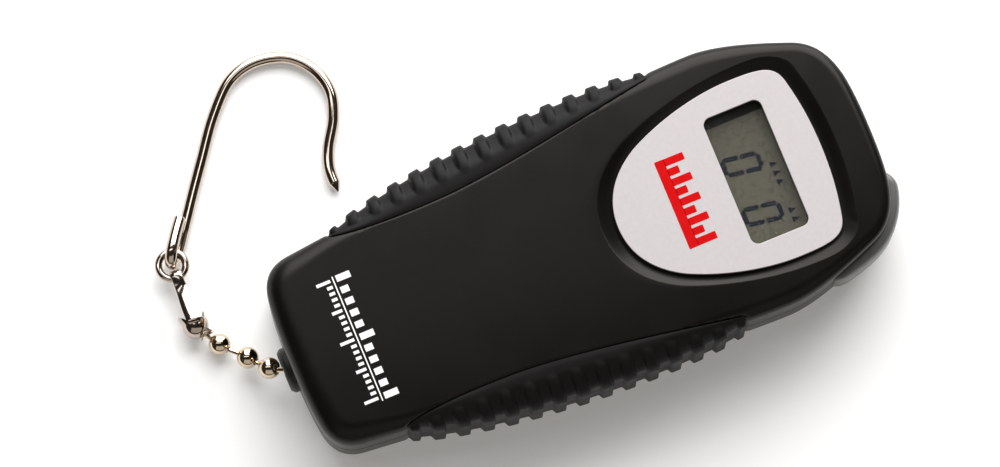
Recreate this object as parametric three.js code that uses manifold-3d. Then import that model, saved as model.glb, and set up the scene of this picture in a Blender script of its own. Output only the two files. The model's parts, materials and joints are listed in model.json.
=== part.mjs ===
// Digital fish scale: a hand-held case with a sprung-beam load cell inside, and a ball chain,
// split ring and hook that pull on it. Millimetres, +Z up. The scale lies on its flat back.
// +Y runs along the case to the display end, and the hook hangs from the -Y end.
// The origin is on the back face, halfway along the case.
import * as THREE from "three";
import { mergeVertices } from "three/addons/utils/BufferGeometryUtils.js";
import Module from "manifold-3d";

const wasm = await Module();
wasm.setup();

// ---------- driving dimensions ----------

const THICKNESS = 27;
const HALF_LENGTH = 69.2;
const HALF_WIDTH = 30.15;
const EDGE_ROUND = 4;
const WALL = 2.6;
const FLOOR = 2.4;
const PARTING_Z = THICKNESS / 2;
const PULL_Z = 12;
const RUN_GAP = 0.2;
const REST_GAP = 0.05;
const FAR = 60;

const GRIP_SINK = 1;
const GRIP_GAP = 0.15;
const GRIP_Y = [-51, 28];
const GRIP_Z = [0.6, THICKNESS - 0.2];
const RIB_COUNT = 13;
const RIB_PITCH = 5.44;
const RIB_FIRST_Y = -44.3;
const RIB_WIDTH = 2.8;
const RIB_PROUD = 1.05;
const NUB_WIDTH = 2;
const NUB_END_INSET = 1.7;

const RECESS_Z = THICKNESS - 2.1;
const RECESS_FLARE = 2.4;
const ROOF_Z = RECESS_Z - 2;
const PLATE_THICK = 1;
const PANE_HALF_X = 15.8;
const PANE_Y = [34.2, 49.9];
const WINDOW_HALF_X = 15.1;
const WINDOW_Y = [35.2, 48.9];
const WINDOW_CORNER = 1.8;

const BOARD_Z = 15.4;
const BOARD_THICK = 1.6;
const BOARD_TOP = BOARD_Z + BOARD_THICK;
const BOARD_HALF_X = 18.8;
const BOARD_Y = [4, 60];
const BOARD_CORNER = 7;
const LCD_HALF_X = 17.3;
const LCD_Y = [33.2, 51.6];
const LCD_Z = [ROOF_Z - 2.7, ROOF_Z - 0.2];
const HOLDER_WALL = 1.2;
const HOLDER_SLACK = 0.15;
const ZEBRA_SLOT = 2.4;
const ZEBRA_Y = [LCD_Y[0] + 0.4, LCD_Y[1] - 0.4 - ZEBRA_SLOT];

const BATTERY_R = 5.1;
const BATTERY_LENGTH = 43.6;
const BATTERY_X = 5.55;
const BATTERY_Z = 7.3;
const BATTERY_Y0 = 11.2;
const BATTERY_NUB_R = 1.9;
const BATTERY_NUB = 1;
const CONTACT_HALF = 4.2;
const CONTACT_THICK = 0.4;
const CONTACT_GAP = 0.15;
const BAY_HALF_X = 11.3;
const BAY_Y = [8.4, 57.8];
const BAY_TOP = 12.9;
const BAY_WALL = 1.2;

const DOOR_HALF_X = 14;
const DOOR_Y0 = 6;
const DOOR_THICK = 1.45;
const DOOR_RECESS = 1.6;
const TONGUE = 1;
const TONGUE_Z = [0.8, 1.25];
const THUMB_GROOVES = 4;
const THUMB_Y = 14;
const THUMB_PITCH = 2.6;

const CASE_SCREWS = [[-16.5, -59], [16.5, -59], [-22.5, 40], [22.5, 40]];
const SCREW_SEAT_Z = 5;
const SCREW_TIP_Z = 20;
const BOSS_R = 3.2;
const BOARD_SCREWS = [[-16.2, 12], [16.2, 12]];
const BOARD_SCREW_TIP_Z = 21;
const CASE_SCREW = { radius: 1.15, headR: 2.3, headHeight: 1.7 };
const BOARD_SCREW = { radius: 0.85, headR: 1.9, headHeight: 1.2 };
const BRACKET_SCREW = { radius: 0.9, headR: 2.1, headHeight: 1.3 };

const CELL_HALF_X = 11;
const CELL_Y = [-60, -31];
const CELL_THICK = 6;
const CELL_SLOT = 1.6;
const CELL_WEB = 4;
const CELL_END = 8;
const CELL_EYE_R = 2;
const THREAD_R = 1.6;
const THREAD_HOLE_R = 1.75;
const THREAD_DEPTH = 7;
const BRACKET_Y = -28.4;
const BRACKET_HALF_X = 10;
const BRACKET_THICK = 2;
const BRACKET_FOOT = 13;
const BRACKET_SCREW_X = 6;
const BRACKET_SCREW_Y = -20;
const BRACKET_Z = 4;
const BRACKET_SCREWS = [-BRACKET_SCREW_X, BRACKET_SCREW_X].map((x) => [x, BRACKET_SCREW_Y]);
const BUSH_R = 5.2;
const BUSH_FACE_Y = -HALF_LENGTH - 1.8;

const BALL_R = 2.45;
const BALL_BORE = 2;
const BALL_HOLE = 0.85;
const BALL_PIVOT = 2.1;
const LINK_R = 0.45;
const LINK_HEAD_R = 0.75;
const LINK_INSIDE = 1.1;
const END_BALL = new THREE.Vector3(0, -68.6, PULL_Z);
const CHAIN_BALLS = [
  new THREE.Vector3(-2.5, -73.6, 8.8),
  new THREE.Vector3(-7, -77.1, 4.4),
  new THREE.Vector3(-12.4, -81.7, 2.5),
];
const CLIP_BALL = new THREE.Vector3(-18.2, -85.1, 3.8);

const RING_CENTRE = new THREE.Vector3(-32.7, -84.9, 3.8);
const RING_R = 3.05;
const RING_WIRE_R = 0.85;
const STRAP_WIDTH = 2.8;
const STRAP_THICK = 0.6;
const STRAP_SLACK = 0.25;

const HOOK_WIRE_R = 1.2;
const HOOK_Z = 1.4;
const EYE_SLACK = 0.3;
const HOOK_BEND = [
  [-61, -63.4],
  [-66.9, -57],
  [-68.5, -50.6],
  [-66.7, -43.4],
  [-62, -38.9],
  [-56, -37.3],
];
const HOOK_POINT = [[-50.2, -38.9], [-44, -42.6], [-39.5, -44.1], [-34.3, -44.2]];

const BUTTON_Z = [7, 20];
const BUTTON_TRAVEL = 0.8;
const PLUNGER_Z = 18.7;
const PLUNGER_R = 1.1;
const SWITCH_AT = [15, 57];
const SWITCH_HALF = 2.2;
const SWITCH_HEIGHT = 3.5;
const SWITCH_STEM = 0.8;

// ---------- helpers: solids, boxes, rods and turned shapes ----------

function solid(geometry) {
  const bare = geometry.clone();
  bare.deleteAttribute("normal");
  bare.deleteAttribute("uv");
  const merged = mergeVertices(bare, 1e-4);
  return new wasm.Manifold(
    new wasm.Mesh({
      numProp: 3,
      vertProperties: merged.attributes.position.array,
      triVerts: new Uint32Array(merged.index.array),
    }),
  );
}

function geometryOf(body) {
  const mesh = body.getMesh();
  const geometry = new THREE.BufferGeometry();
  geometry.setAttribute("position", new THREE.BufferAttribute(mesh.vertProperties, 3));
  geometry.setIndex(new THREE.BufferAttribute(mesh.triVerts, 1));
  geometry.computeVertexNormals();
  return geometry;
}

function join(first, ...others) {
  return others.reduce((whole, piece) => whole.add(piece), first);
}

function cut(first, ...tools) {
  return tools.reduce((rest, tool) => rest.subtract(tool), first);
}

function block([x0, x1], [y0, y1], [z0, z1]) {
  const geometry = new THREE.BoxGeometry(x1 - x0, y1 - y0, z1 - z0);
  geometry.translate((x0 + x1) / 2, (y0 + y1) / 2, (z0 + z1) / 2);
  return solid(geometry);
}

// A straight rod between two points.
function rod(radius, from, to, sides = 16) {
  const along = new THREE.Vector3().subVectors(to, from);
  const geometry = new THREE.CylinderGeometry(radius, radius, along.length(), sides);
  geometry.translate(0, along.length() / 2, 0);
  return solid(placed(geometry, from, along));
}

function uprightRod(radius, [x, y], [z0, z1], sides = 16) {
  return rod(radius, new THREE.Vector3(x, y, z0), new THREE.Vector3(x, y, z1), sides);
}

// Turns a shape made along +Y to lie along a direction, from a point.
function placed(geometry, at, along) {
  const turn = new THREE.Quaternion().setFromUnitVectors(
    new THREE.Vector3(0, 1, 0),
    along.clone().normalize(),
  );
  geometry.applyQuaternion(turn);
  geometry.translate(at.x, at.y, at.z);
  return geometry;
}

// A shape turned about +Y from points [radius, height] given in rising order on the outside.
function turned(points, sides = 20) {
  return new THREE.LatheGeometry(points.map(([r, y]) => new THREE.Vector2(r, y)), sides);
}

function prism(shape, [z0, z1], bevel = 0, bevelSegments = 2, curveSegments = 5) {
  const geometry = new THREE.ExtrudeGeometry(shape, {
    depth: z1 - z0 - 2 * bevel,
    bevelEnabled: bevel > 0,
    bevelThickness: bevel,
    bevelSize: bevel,
    bevelOffset: -bevel,
    bevelSegments,
    curveSegments,
  });
  geometry.translate(0, 0, z0 + bevel);
  return solid(geometry);
}

function roundedRect(x0, x1, y0, y1, r) {
  const shape = new THREE.Shape();
  shape.moveTo(x0 + r, y0);
  shape.lineTo(x1 - r, y0);
  shape.absarc(x1 - r, y0 + r, r, -Math.PI / 2, 0);
  shape.lineTo(x1, y1 - r);
  shape.absarc(x1 - r, y1 - r, r, 0, Math.PI / 2);
  shape.lineTo(x0 + r, y1);
  shape.absarc(x0 + r, y1 - r, r, Math.PI / 2, Math.PI);
  shape.lineTo(x0, y0 + r);
  shape.absarc(x0 + r, y0 + r, r, Math.PI, 1.5 * Math.PI);
  return shape;
}

// A round wire along a curve, with closed ends.
function wire(curve, radius, steps, sides = 8) {
  const section = new THREE.Shape();
  section.absarc(0, 0, radius, 0, 2 * Math.PI);
  return new THREE.ExtrudeGeometry(section, {
    steps,
    extrudePath: curve,
    curveSegments: sides,
  });
}

// ---------- outlines ----------

// The case in plan, drawn in by inset, as one closed outline with mirrored sides.
function caseOutline(inset = 0) {
  const sx = 1 - inset / HALF_WIDTH;
  const sy = 1 - inset / HALF_LENGTH;
  const right = [
    [[7, -69.2], [12, -68.9], [15.5, -68.3]],
    [[19.5, -67.6], [22, -65.4], [22.5, -61]],
    [[24, -45], [30.15, 15], [30.15, 38]],
    [[30.15, 44], [27.6, 51.5], [24.2, 60]],
    [[22.6, 64.2], [19.5, 67.2], [12.5, 68.5]],
    [[8.5, 69.1], [4, 69.2], [0, 69.2]],
  ];
  const start = [0, -69.2];
  const shape = new THREE.Shape();
  shape.moveTo(start[0] * sx, start[1] * sy);
  for (const [a, b, c] of right)
    shape.bezierCurveTo(a[0] * sx, a[1] * sy, b[0] * sx, b[1] * sy, c[0] * sx, c[1] * sy);
  const ends = [start, ...right.map((curve) => curve[2])];
  for (let i = right.length - 1; i >= 0; i -= 1) {
    const [a, b] = right[i];
    const end = ends[i];
    shape.bezierCurveTo(-b[0] * sx, b[1] * sy, -a[0] * sx, a[1] * sy, -end[0] * sx, end[1] * sy);
  }
  return shape;
}

// The display plate: an egg with its broad end towards the display end of the case.
function plateOutline() {
  const shape = new THREE.Shape();
  const right = [
    [[6.5, 9.1], [11.5, 12.6], [15, 18.9]],
    [[18.2, 25.2], [21.1, 35], [21.1, 44]],
    [[21.1, 52.5], [20.4, 55.2], [15.3, 56]],
    [[10, 57.2], [5, 57.6], [0, 57.6]],
  ];
  const start = [0, 9.1];
  shape.moveTo(...start);
  for (const [a, b, c] of right) shape.bezierCurveTo(...a, ...b, ...c);
  const ends = [start, ...right.map((curve) => curve[2])];
  for (let i = right.length - 1; i >= 0; i -= 1) {
    const [a, b] = right[i];
    shape.bezierCurveTo(-b[0], b[1], -a[0], a[1], -ends[i][0], ends[i][1]);
  }
  return shape;
}

// The outer line of a grip pad on the +X side, pushed out by proud and run past both its ends.
function gripOuter(proud) {
  const past = 12;
  const [y0, y1] = GRIP_Y;
  const shape = new THREE.Shape();
  shape.moveTo(0, y0 - past);
  shape.lineTo(18 + proud, y0 - past);
  shape.lineTo(23 + proud, y0);
  shape.bezierCurveTo(27.5 + proud, -40, 31.2 + proud, -16, 31.1 + proud, 10);
  shape.quadraticCurveTo(31 + proud, 22, 29.6 + proud, y1);
  shape.lineTo(27.5 + proud, y1 + past);
  shape.lineTo(0, y1 + past);
  return shape;
}

// Everything outside the line where the pad meets the case, pushed in by gap.
function gripRegion(gap) {
  const [y0, y1] = GRIP_Y;
  const shape = new THREE.Shape();
  shape.moveTo(23 - gap, y0 - gap);
  shape.lineTo(FAR, y0 - gap);
  shape.lineTo(FAR, y1 + gap);
  shape.lineTo(28.8 - gap, y1 + gap);
  shape.bezierCurveTo(26.5 - gap, 14, 22.5 - gap, -6, 21.4 - gap, -22);
  shape.bezierCurveTo(21 - gap, -32, 21 - gap, -44, 23 - gap, y0 - gap);
  return shape;
}

// The power button: a strip round one corner of the case, its inner line moved in by gap.
function buttonOutline(gap) {
  const out = gap > 0 ? 3 : 0;
  const shape = new THREE.Shape();
  shape.moveTo(27.9 - gap, 49.2 - gap / 2);
  shape.lineTo(29.3 + out, 50.4 - gap);
  shape.bezierCurveTo(28.6 + out, 55, 27.2 + out, 60, 25.6 + out, 62.6 + out);
  shape.bezierCurveTo(23 + out, 67 + out, 17.5, 70.7 + out, 11.8 - gap, 70.9 + out);
  shape.lineTo(9.8 - gap / 2, 68.4 - gap);
  shape.bezierCurveTo(19 - gap, 67 - gap, 21.8 - gap, 63.8 - gap, 23.6 - gap, 59.8 - gap);
  shape.bezierCurveTo(25.2 - gap, 55.8 - gap, 27 - gap, 52 - gap, 27.9 - gap, 49.2 - gap / 2);
  return shape;
}

// ---------- case ----------

const MIRROR = new THREE.Matrix4().makeScale(-1, 1, 1);

// A copy of a solid on the other side of the case.
function mirrored(body) {
  const geometry = geometryOf(body).toNonIndexed();
  geometry.applyMatrix4(MIRROR);
  const position = geometry.getAttribute("position");
  for (let i = 0; i < position.count; i += 3) {
    const second = new THREE.Vector3().fromBufferAttribute(position, i + 1);
    const third = new THREE.Vector3().fromBufferAttribute(position, i + 2);
    position.setXYZ(i + 1, third.x, third.y, third.z);
    position.setXYZ(i + 2, second.x, second.y, second.z);
  }
  return solid(geometry);
}

const DIAGONAL = new THREE.Vector3(1, 1, 0).normalize();

function plungerLine(from, to) {
  const centre = new THREE.Vector3(...SWITCH_AT, PLUNGER_Z);
  return [from, to].map((distance) => centre.clone().addScaledVector(DIAGONAL, distance));
}

// The case as it is under the grips, smaller by depth all round.
function caseCore(depth) {
  return prism(caseOutline(depth), [depth, THICKNESS - depth], EDGE_ROUND - depth, 1);
}

function gripSolid() {
  const region = prism(gripRegion(0), [-1, FAR]);
  const pad = prism(gripOuter(0), GRIP_Z, EDGE_ROUND).intersect(region);
  const slabs = [];
  for (let i = 0; i < RIB_COUNT; i += 1) {
    const y = RIB_FIRST_Y + i * RIB_PITCH;
    slabs.push(block([0, FAR], [y - RIB_WIDTH / 2, y + RIB_WIDTH / 2], [-1, FAR]));
  }
  for (const y of [GRIP_Y[0] + NUB_END_INSET, GRIP_Y[1] - NUB_END_INSET])
    slabs.push(block([0, FAR], [y - NUB_WIDTH / 2, y + NUB_WIDTH / 2], [-1, FAR]));
  const proud = prism(gripOuter(RIB_PROUD), GRIP_Z, EDGE_ROUND + RIB_PROUD);
  const ribs = proud.intersect(region).intersect(join(...slabs));
  return cut(join(pad, ribs), caseCore(GRIP_SINK));
}

function gripPocket() {
  const region = prism(gripRegion(GRIP_GAP), [GRIP_Z[0] - RUN_GAP, THICKNESS + 1]);
  return cut(region, caseCore(GRIP_SINK + GRIP_GAP));
}

function hollowCase() {
  const outside = prism(caseOutline(), [0, THICKNESS], EDGE_ROUND);
  const cavity = prism(caseOutline(WALL), [FLOOR, THICKNESS - WALL], EDGE_ROUND - 1.5, 1, 4);
  const bushHole = rod(
    BUSH_R + RUN_GAP,
    new THREE.Vector3(0, -HALF_LENGTH - 1, PULL_Z),
    new THREE.Vector3(0, -HALF_LENGTH + 6, PULL_Z),
    24,
  );
  const buttonPocket = prism(
    buttonOutline(RUN_GAP + BUTTON_TRAVEL),
    [BUTTON_Z[0] - RUN_GAP, BUTTON_Z[1] + RUN_GAP],
  );
  const plungerHole = rod(PLUNGER_R + RUN_GAP, ...plungerLine(5, 14));
  const pocket = gripPocket();
  const shell = cut(outside, cavity, bushHole, pocket, mirrored(pocket), buttonPocket, plungerHole);
  return { shell, cavity };
}

function plateRecess() {
  const geometry = new THREE.ExtrudeGeometry(plateOutline(), {
    depth: 4,
    bevelThickness: THICKNESS - RECESS_Z,
    bevelSize: RECESS_FLARE,
    bevelOffset: 0.25,
    bevelSegments: 1,
    curveSegments: 6,
  });
  geometry.translate(0, 0, THICKNESS);
  return solid(geometry);
}

// A block centred on x = 0, grown in plan.
function centredBlock(halfX, [y0, y1], grow, z) {
  return block([-halfX - grow, halfX + grow], [y0 - grow, y1 + grow], z);
}

function frontShell({ shell, cavity }) {
  const upperHalf = block([-FAR, FAR], [-2 * FAR, 2 * FAR], [PARTING_Z, FAR]);
  const roof = centredBlock(26, [5, 62], 0, [ROOF_Z, THICKNESS]).intersect(cavity);
  let body = join(shell.intersect(upperHalf), roof);
  for (const at of CASE_SCREWS)
    body = join(body, uprightRod(BOSS_R, at, [PARTING_Z, THICKNESS - WALL + 0.5]));
  for (const at of BOARD_SCREWS) body = join(body, uprightRod(2.3, at, [BOARD_TOP, ROOF_Z + 0.5]));
  for (const at of CASE_SCREWS) {
    const pilot = uprightRod(CASE_SCREW.radius + 0.15, at, [PARTING_Z - 1, SCREW_TIP_Z + 0.5], 12);
    body = cut(body, pilot);
  }
  for (const at of BOARD_SCREWS) {
    const pilot = uprightRod(BOARD_SCREW.radius + 0.1, at, [BOARD_Z, BOARD_SCREW_TIP_Z + 0.4], 10);
    body = cut(body, pilot);
  }
  const opening = centredBlock(PANE_HALF_X, PANE_Y, RUN_GAP, [ROOF_Z - 1, FAR]);
  return cut(body, plateRecess(), opening);
}

function rearShell({ shell }) {
  const lowerHalf = block([-FAR, FAR], [-2 * FAR, 2 * FAR], [-1, PARTING_Z]);
  const bay = centredBlock(BAY_HALF_X, BAY_Y, BAY_WALL, [1, BAY_TOP + BAY_WALL]);
  let body = join(shell.intersect(lowerHalf), bay);
  for (const at of CASE_SCREWS) body = join(body, uprightRod(BOSS_R, at, [FLOOR - 1, PARTING_Z]));
  for (const at of BRACKET_SCREWS) body = join(body, uprightRod(2.6, at, [FLOOR - 1, BRACKET_Z]));
  for (const at of CASE_SCREWS) {
    const access = uprightRod(CASE_SCREW.headR + RUN_GAP, at, [-1, SCREW_SEAT_Z]);
    const passage = uprightRod(1.4, at, [1, PARTING_Z + 1], 12);
    body = cut(body, access, passage);
  }
  for (const at of BRACKET_SCREWS) body = cut(body, uprightRod(1, at, [1, BRACKET_Z + 1], 10));
  const recess = block([-DOOR_HALF_X, DOOR_HALF_X], [DOOR_Y0, FAR + 20], [-1, DOOR_RECESS]);
  const grooves = block(
    [-DOOR_HALF_X - TONGUE - RUN_GAP, DOOR_HALF_X + TONGUE + RUN_GAP],
    [DOOR_Y0, FAR + 20],
    [TONGUE_Z[0] - RUN_GAP, DOOR_RECESS],
  );
  return cut(body, centredBlock(BAY_HALF_X, BAY_Y, 0, [-1, BAY_TOP]), recess, grooves);
}

function batteryDoor() {
  const side = DOOR_HALF_X - RUN_GAP;
  const y = [DOOR_Y0 + RUN_GAP, FAR + 20];
  const plate = block([-side, side], y, [0, DOOR_THICK]);
  const tongues = block([-side - TONGUE, side + TONGUE], y, TONGUE_Z);
  const outside = prism(caseOutline(), [0, THICKNESS], EDGE_ROUND);
  let body = join(plate, tongues).intersect(outside);
  for (let i = 0; i < THUMB_GROOVES; i += 1) {
    const y0 = THUMB_Y + THUMB_PITCH * i;
    body = cut(body, block([-6, 6], [y0, y0 + THUMB_PITCH / 2], [-1, 0.5]));
  }
  return body;
}

// ---------- display ----------

function displayPlate() {
  const z = [RECESS_Z + REST_GAP, RECESS_Z + REST_GAP + PLATE_THICK];
  const window = prism(
    roundedRect(-WINDOW_HALF_X, WINDOW_HALF_X, ...WINDOW_Y, WINDOW_CORNER),
    [0, FAR],
    0,
    1,
    4,
  );
  return cut(prism(plateOutline(), z, 0, 1, 6), window);
}

function displayPane() {
  return block([-PANE_HALF_X, PANE_HALF_X], PANE_Y, [ROOF_Z + 0.4, RECESS_Z]);
}

function lcdPanel() {
  return block([-LCD_HALF_X, LCD_HALF_X], LCD_Y, LCD_Z);
}

// A tray round the LCD, with a slot through its floor for each zebra strip.
function lcdHolder() {
  const outer = centredBlock(LCD_HALF_X, LCD_Y, HOLDER_WALL, [BOARD_TOP + REST_GAP, LCD_Z[1]]);
  const seat = centredBlock(LCD_HALF_X, LCD_Y, HOLDER_SLACK, [LCD_Z[0] - HOLDER_SLACK, FAR]);
  const slots = ZEBRA_Y.map((y) => centredBlock(LCD_HALF_X - 1, [y, y + ZEBRA_SLOT], 0, [0, FAR]));
  return cut(outer, seat, ...slots);
}

function zebraStrip(y) {
  const z = [BOARD_TOP + REST_GAP, LCD_Z[0] - REST_GAP];
  return centredBlock(LCD_HALF_X - 1, [y, y + ZEBRA_SLOT], -RUN_GAP, z);
}

// ---------- electronics ----------

function mainBoard() {
  const clip = BOARD_CORNER;
  const shape = new THREE.Shape();
  shape.moveTo(-BOARD_HALF_X, BOARD_Y[0]);
  shape.lineTo(BOARD_HALF_X, BOARD_Y[0]);
  shape.lineTo(BOARD_HALF_X, BOARD_Y[1] - clip);
  shape.lineTo(BOARD_HALF_X - clip, BOARD_Y[1]);
  shape.lineTo(-BOARD_HALF_X + clip, BOARD_Y[1]);
  shape.lineTo(-BOARD_HALF_X, BOARD_Y[1] - clip);
  let body = prism(shape, [BOARD_Z, BOARD_TOP - 0.02]);
  for (const at of BOARD_SCREWS) body = cut(body, uprightRod(1.2, at, [0, FAR], 12));
  return body;
}

function chipCover() {
  const dome = turned([[0, 0], [4.5, 0], [4.2, 0.8], [2.8, 1.5], [0, 1.8]], 16);
  const foot = new THREE.Vector3(-3, 20, BOARD_TOP + 0.03);
  return solid(placed(dome, foot, new THREE.Vector3(0, 0, 1)));
}

function crystalCan() {
  const radius = 1;
  const z = BOARD_TOP + radius + 0.1;
  return rod(radius, new THREE.Vector3(6, 15, z), new THREE.Vector3(6, 21, z), 12);
}

function tactSwitch() {
  const half = SWITCH_HALF;
  const geometry = new THREE.BoxGeometry(2 * half, 2 * half, SWITCH_HEIGHT);
  geometry.rotateZ(Math.PI / 4);
  geometry.translate(...SWITCH_AT, BOARD_TOP + 0.1 + SWITCH_HEIGHT / 2);
  return join(solid(geometry), rod(0.9, ...plungerLine(half - 0.5, half + SWITCH_STEM), 12));
}

function powerButton() {
  const cap = prism(buttonOutline(0), BUTTON_Z, 0.5, 1);
  const start = SWITCH_HALF + SWITCH_STEM + BUTTON_TRAVEL + 0.1;
  return join(cap, rod(PLUNGER_R, ...plungerLine(start, 12), 12));
}

// ---------- load cell and its anchor ----------

// A flat S beam: two slots from opposite sides leave a web that stretches under the pull.
function loadCell() {
  const z = [PULL_Z - CELL_THICK / 2, PULL_Z + CELL_THICK / 2];
  const [y0, y1] = CELL_Y;
  const beam = block([-CELL_HALF_X, CELL_HALF_X], CELL_Y, z);
  const lowerY = [y0 + CELL_END, y0 + CELL_END + CELL_SLOT];
  const upperY = [y1 - CELL_END - CELL_SLOT, y1 - CELL_END];
  const lower = block([-FAR, CELL_HALF_X - CELL_WEB], lowerY, [0, FAR]);
  const upper = block([-CELL_HALF_X + CELL_WEB, FAR], upperY, [0, FAR]);
  const middle = (y0 + y1) / 2;
  const eyes = [-3, 3].map((x) => uprightRod(CELL_EYE_R, [x, middle], [0, FAR]));
  const boltHole = pullLineRod(THREAD_HOLE_R, y1 - THREAD_DEPTH, y1 + 1);
  const rodHole = pullLineRod(THREAD_HOLE_R, y0 - 1, y0 + THREAD_DEPTH);
  return cut(beam, lower, upper, ...eyes, boltHole, rodHole);
}

// A rod along the line that the chain pulls on.
function pullLineRod(radius, y0, y1, sides) {
  return rod(radius, new THREE.Vector3(0, y0, PULL_Z), new THREE.Vector3(0, y1, PULL_Z), sides);
}

function strainGauge() {
  const middle = (CELL_Y[0] + CELL_Y[1]) / 2;
  const top = PULL_Z + CELL_THICK / 2;
  return block([-7.5, 7.5], [middle - 2.4, middle + 2.4], [top + 0.02, top + 0.5]);
}

function anchorBracket() {
  const x = [-BRACKET_HALF_X, BRACKET_HALF_X];
  const low = BRACKET_Z + 0.02;
  const upright = block(x, [BRACKET_Y - BRACKET_THICK, BRACKET_Y], [low, PULL_Z + 5]);
  const foot = block(x, [BRACKET_Y - 1, BRACKET_Y + BRACKET_FOOT], [low, BRACKET_Z + BRACKET_THICK]);
  const boltHole = pullLineRod(THREAD_HOLE_R, BRACKET_Y - 4, BRACKET_Y + 2);
  const holes = BRACKET_SCREWS.map((at) => uprightRod(1.4, at, [0, PULL_Z - 4], 12));
  return cut(join(upright, foot), boltHole, ...holes);
}

function anchorBolt() {
  const head = pullLineRod(3, BRACKET_Y + 0.03, BRACKET_Y + 2.4, 6);
  return join(head, pullLineRod(THREAD_R, CELL_Y[1] - 6.5, BRACKET_Y + 1, 12));
}

// The rod that the chain's end ball sits in: a cup on a stem screwed into the load cell.
function drawRod() {
  const cupR = 3.5;
  const bore = BALL_R + 0.15;
  const mouth = 1.45;
  const stemEnd = CELL_Y[0] + 6.5 - END_BALL.y;
  const collar = CELL_Y[0] - 0.3 - END_BALL.y;
  const profile = [
    [Math.sqrt(bore ** 2 - mouth ** 2), -mouth],
    [cupR, -mouth],
    [cupR, collar - 1],
    [cupR - 0.8, collar],
    [THREAD_R, collar],
    [THREAD_R, stemEnd],
    [0, stemEnd],
    [0, bore],
  ];
  const steps = 5;
  for (let i = 1; i <= steps; i += 1) {
    const angle = (i / steps) * Math.acos(-mouth / bore);
    profile.push([bore * Math.sin(angle), bore * Math.cos(angle)]);
  }
  return solid(placed(turned(profile, 16), END_BALL, new THREE.Vector3(0, 1, 0)));
}

// The moulded bush in the end wall: flared inside, chamfered outside, with an inner flange.
function exitBush() {
  const face = BUSH_FACE_Y;
  const flangeR = 6.6;
  const flangeY = [-66.4, -65.4];
  const holeR = 3.3;
  const points = [
    [holeR, face],
    [BUSH_R - 0.8, face],
    [BUSH_R, face + 0.9],
    [BUSH_R, flangeY[0]],
    [flangeR, flangeY[0]],
    [flangeR, flangeY[1]],
    [holeR + 0.5, flangeY[1]],
    [holeR + 0.5, face + 1],
    [holeR, face],
  ];
  const centre = new THREE.Vector3(0, 0, PULL_Z);
  return solid(placed(turned(points, 24), centre, new THREE.Vector3(0, 1, 0)));
}

// ---------- chain, clip, ring and hook ----------

// Each ball's bore lies between the directions of its two neighbours, and each end ball's
// bore is its neighbour's, turned about the link that joins them.
function chainAxes() {
  const centres = [END_BALL, ...CHAIN_BALLS, CLIP_BALL];
  const last = centres.length - 1;
  const along = (i) => new THREE.Vector3().subVectors(centres[i + 1], centres[i]).normalize();
  const axes = centres.map((_, i) =>
    i === 0 || i === last ? null : along(i - 1).add(along(i)).normalize(),
  );
  const reflected = (axis, line) => line.clone().multiplyScalar(2 * axis.dot(line)).sub(axis);
  axes[0] = reflected(axes[1], along(0));
  axes[last] = reflected(axes[last - 1], along(last - 1));
  return centres.map((centre, i) => ({ centre, axis: axes[i] }));
}

// A hollow bead with a hole at each end of its axis.
function chainBall({ centre, axis }) {
  const steps = 6;
  const outer = Math.asin(BALL_HOLE / BALL_R);
  const inner = Math.asin(BALL_HOLE / BALL_BORE);
  const points = [];
  for (let i = 0; i <= steps; i += 1) {
    const angle = -Math.PI / 2 + outer + (i / steps) * (Math.PI - 2 * outer);
    points.push([BALL_R * Math.cos(angle), BALL_R * Math.sin(angle)]);
  }
  for (let i = steps - 1; i >= 0; i -= 1) {
    const angle = -Math.PI / 2 + inner + (i / (steps - 1)) * (Math.PI - 2 * inner);
    points.push([BALL_BORE * Math.cos(angle), BALL_BORE * Math.sin(angle)]);
  }
  points.push(points[0]);
  return solid(placed(turned(points, 14), centre, axis));
}

// A dumb-bell link from one ball's hole to the next one's, with a head inside each.
function chainLink(from, to) {
  const start = from.centre.clone().addScaledVector(from.axis, BALL_PIVOT);
  const end = to.centre.clone().addScaledVector(to.axis, -BALL_PIVOT);
  const along = new THREE.Vector3().subVectors(end, start);
  const gap = along.length();
  const low = -LINK_INSIDE;
  const high = gap + LINK_INSIDE;
  const waist = LINK_HEAD_R * 0.8;
  const points = [[0, low - 0.3], [waist, low - 0.1], [LINK_HEAD_R, low + 0.3], [LINK_R, low + 0.7]];
  points.push([LINK_R, high - 0.7], [LINK_HEAD_R, high - 0.3], [waist, high + 0.1], [0, high + 0.3]);
  return solid(placed(turned(points, 8), start, along));
}

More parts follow.
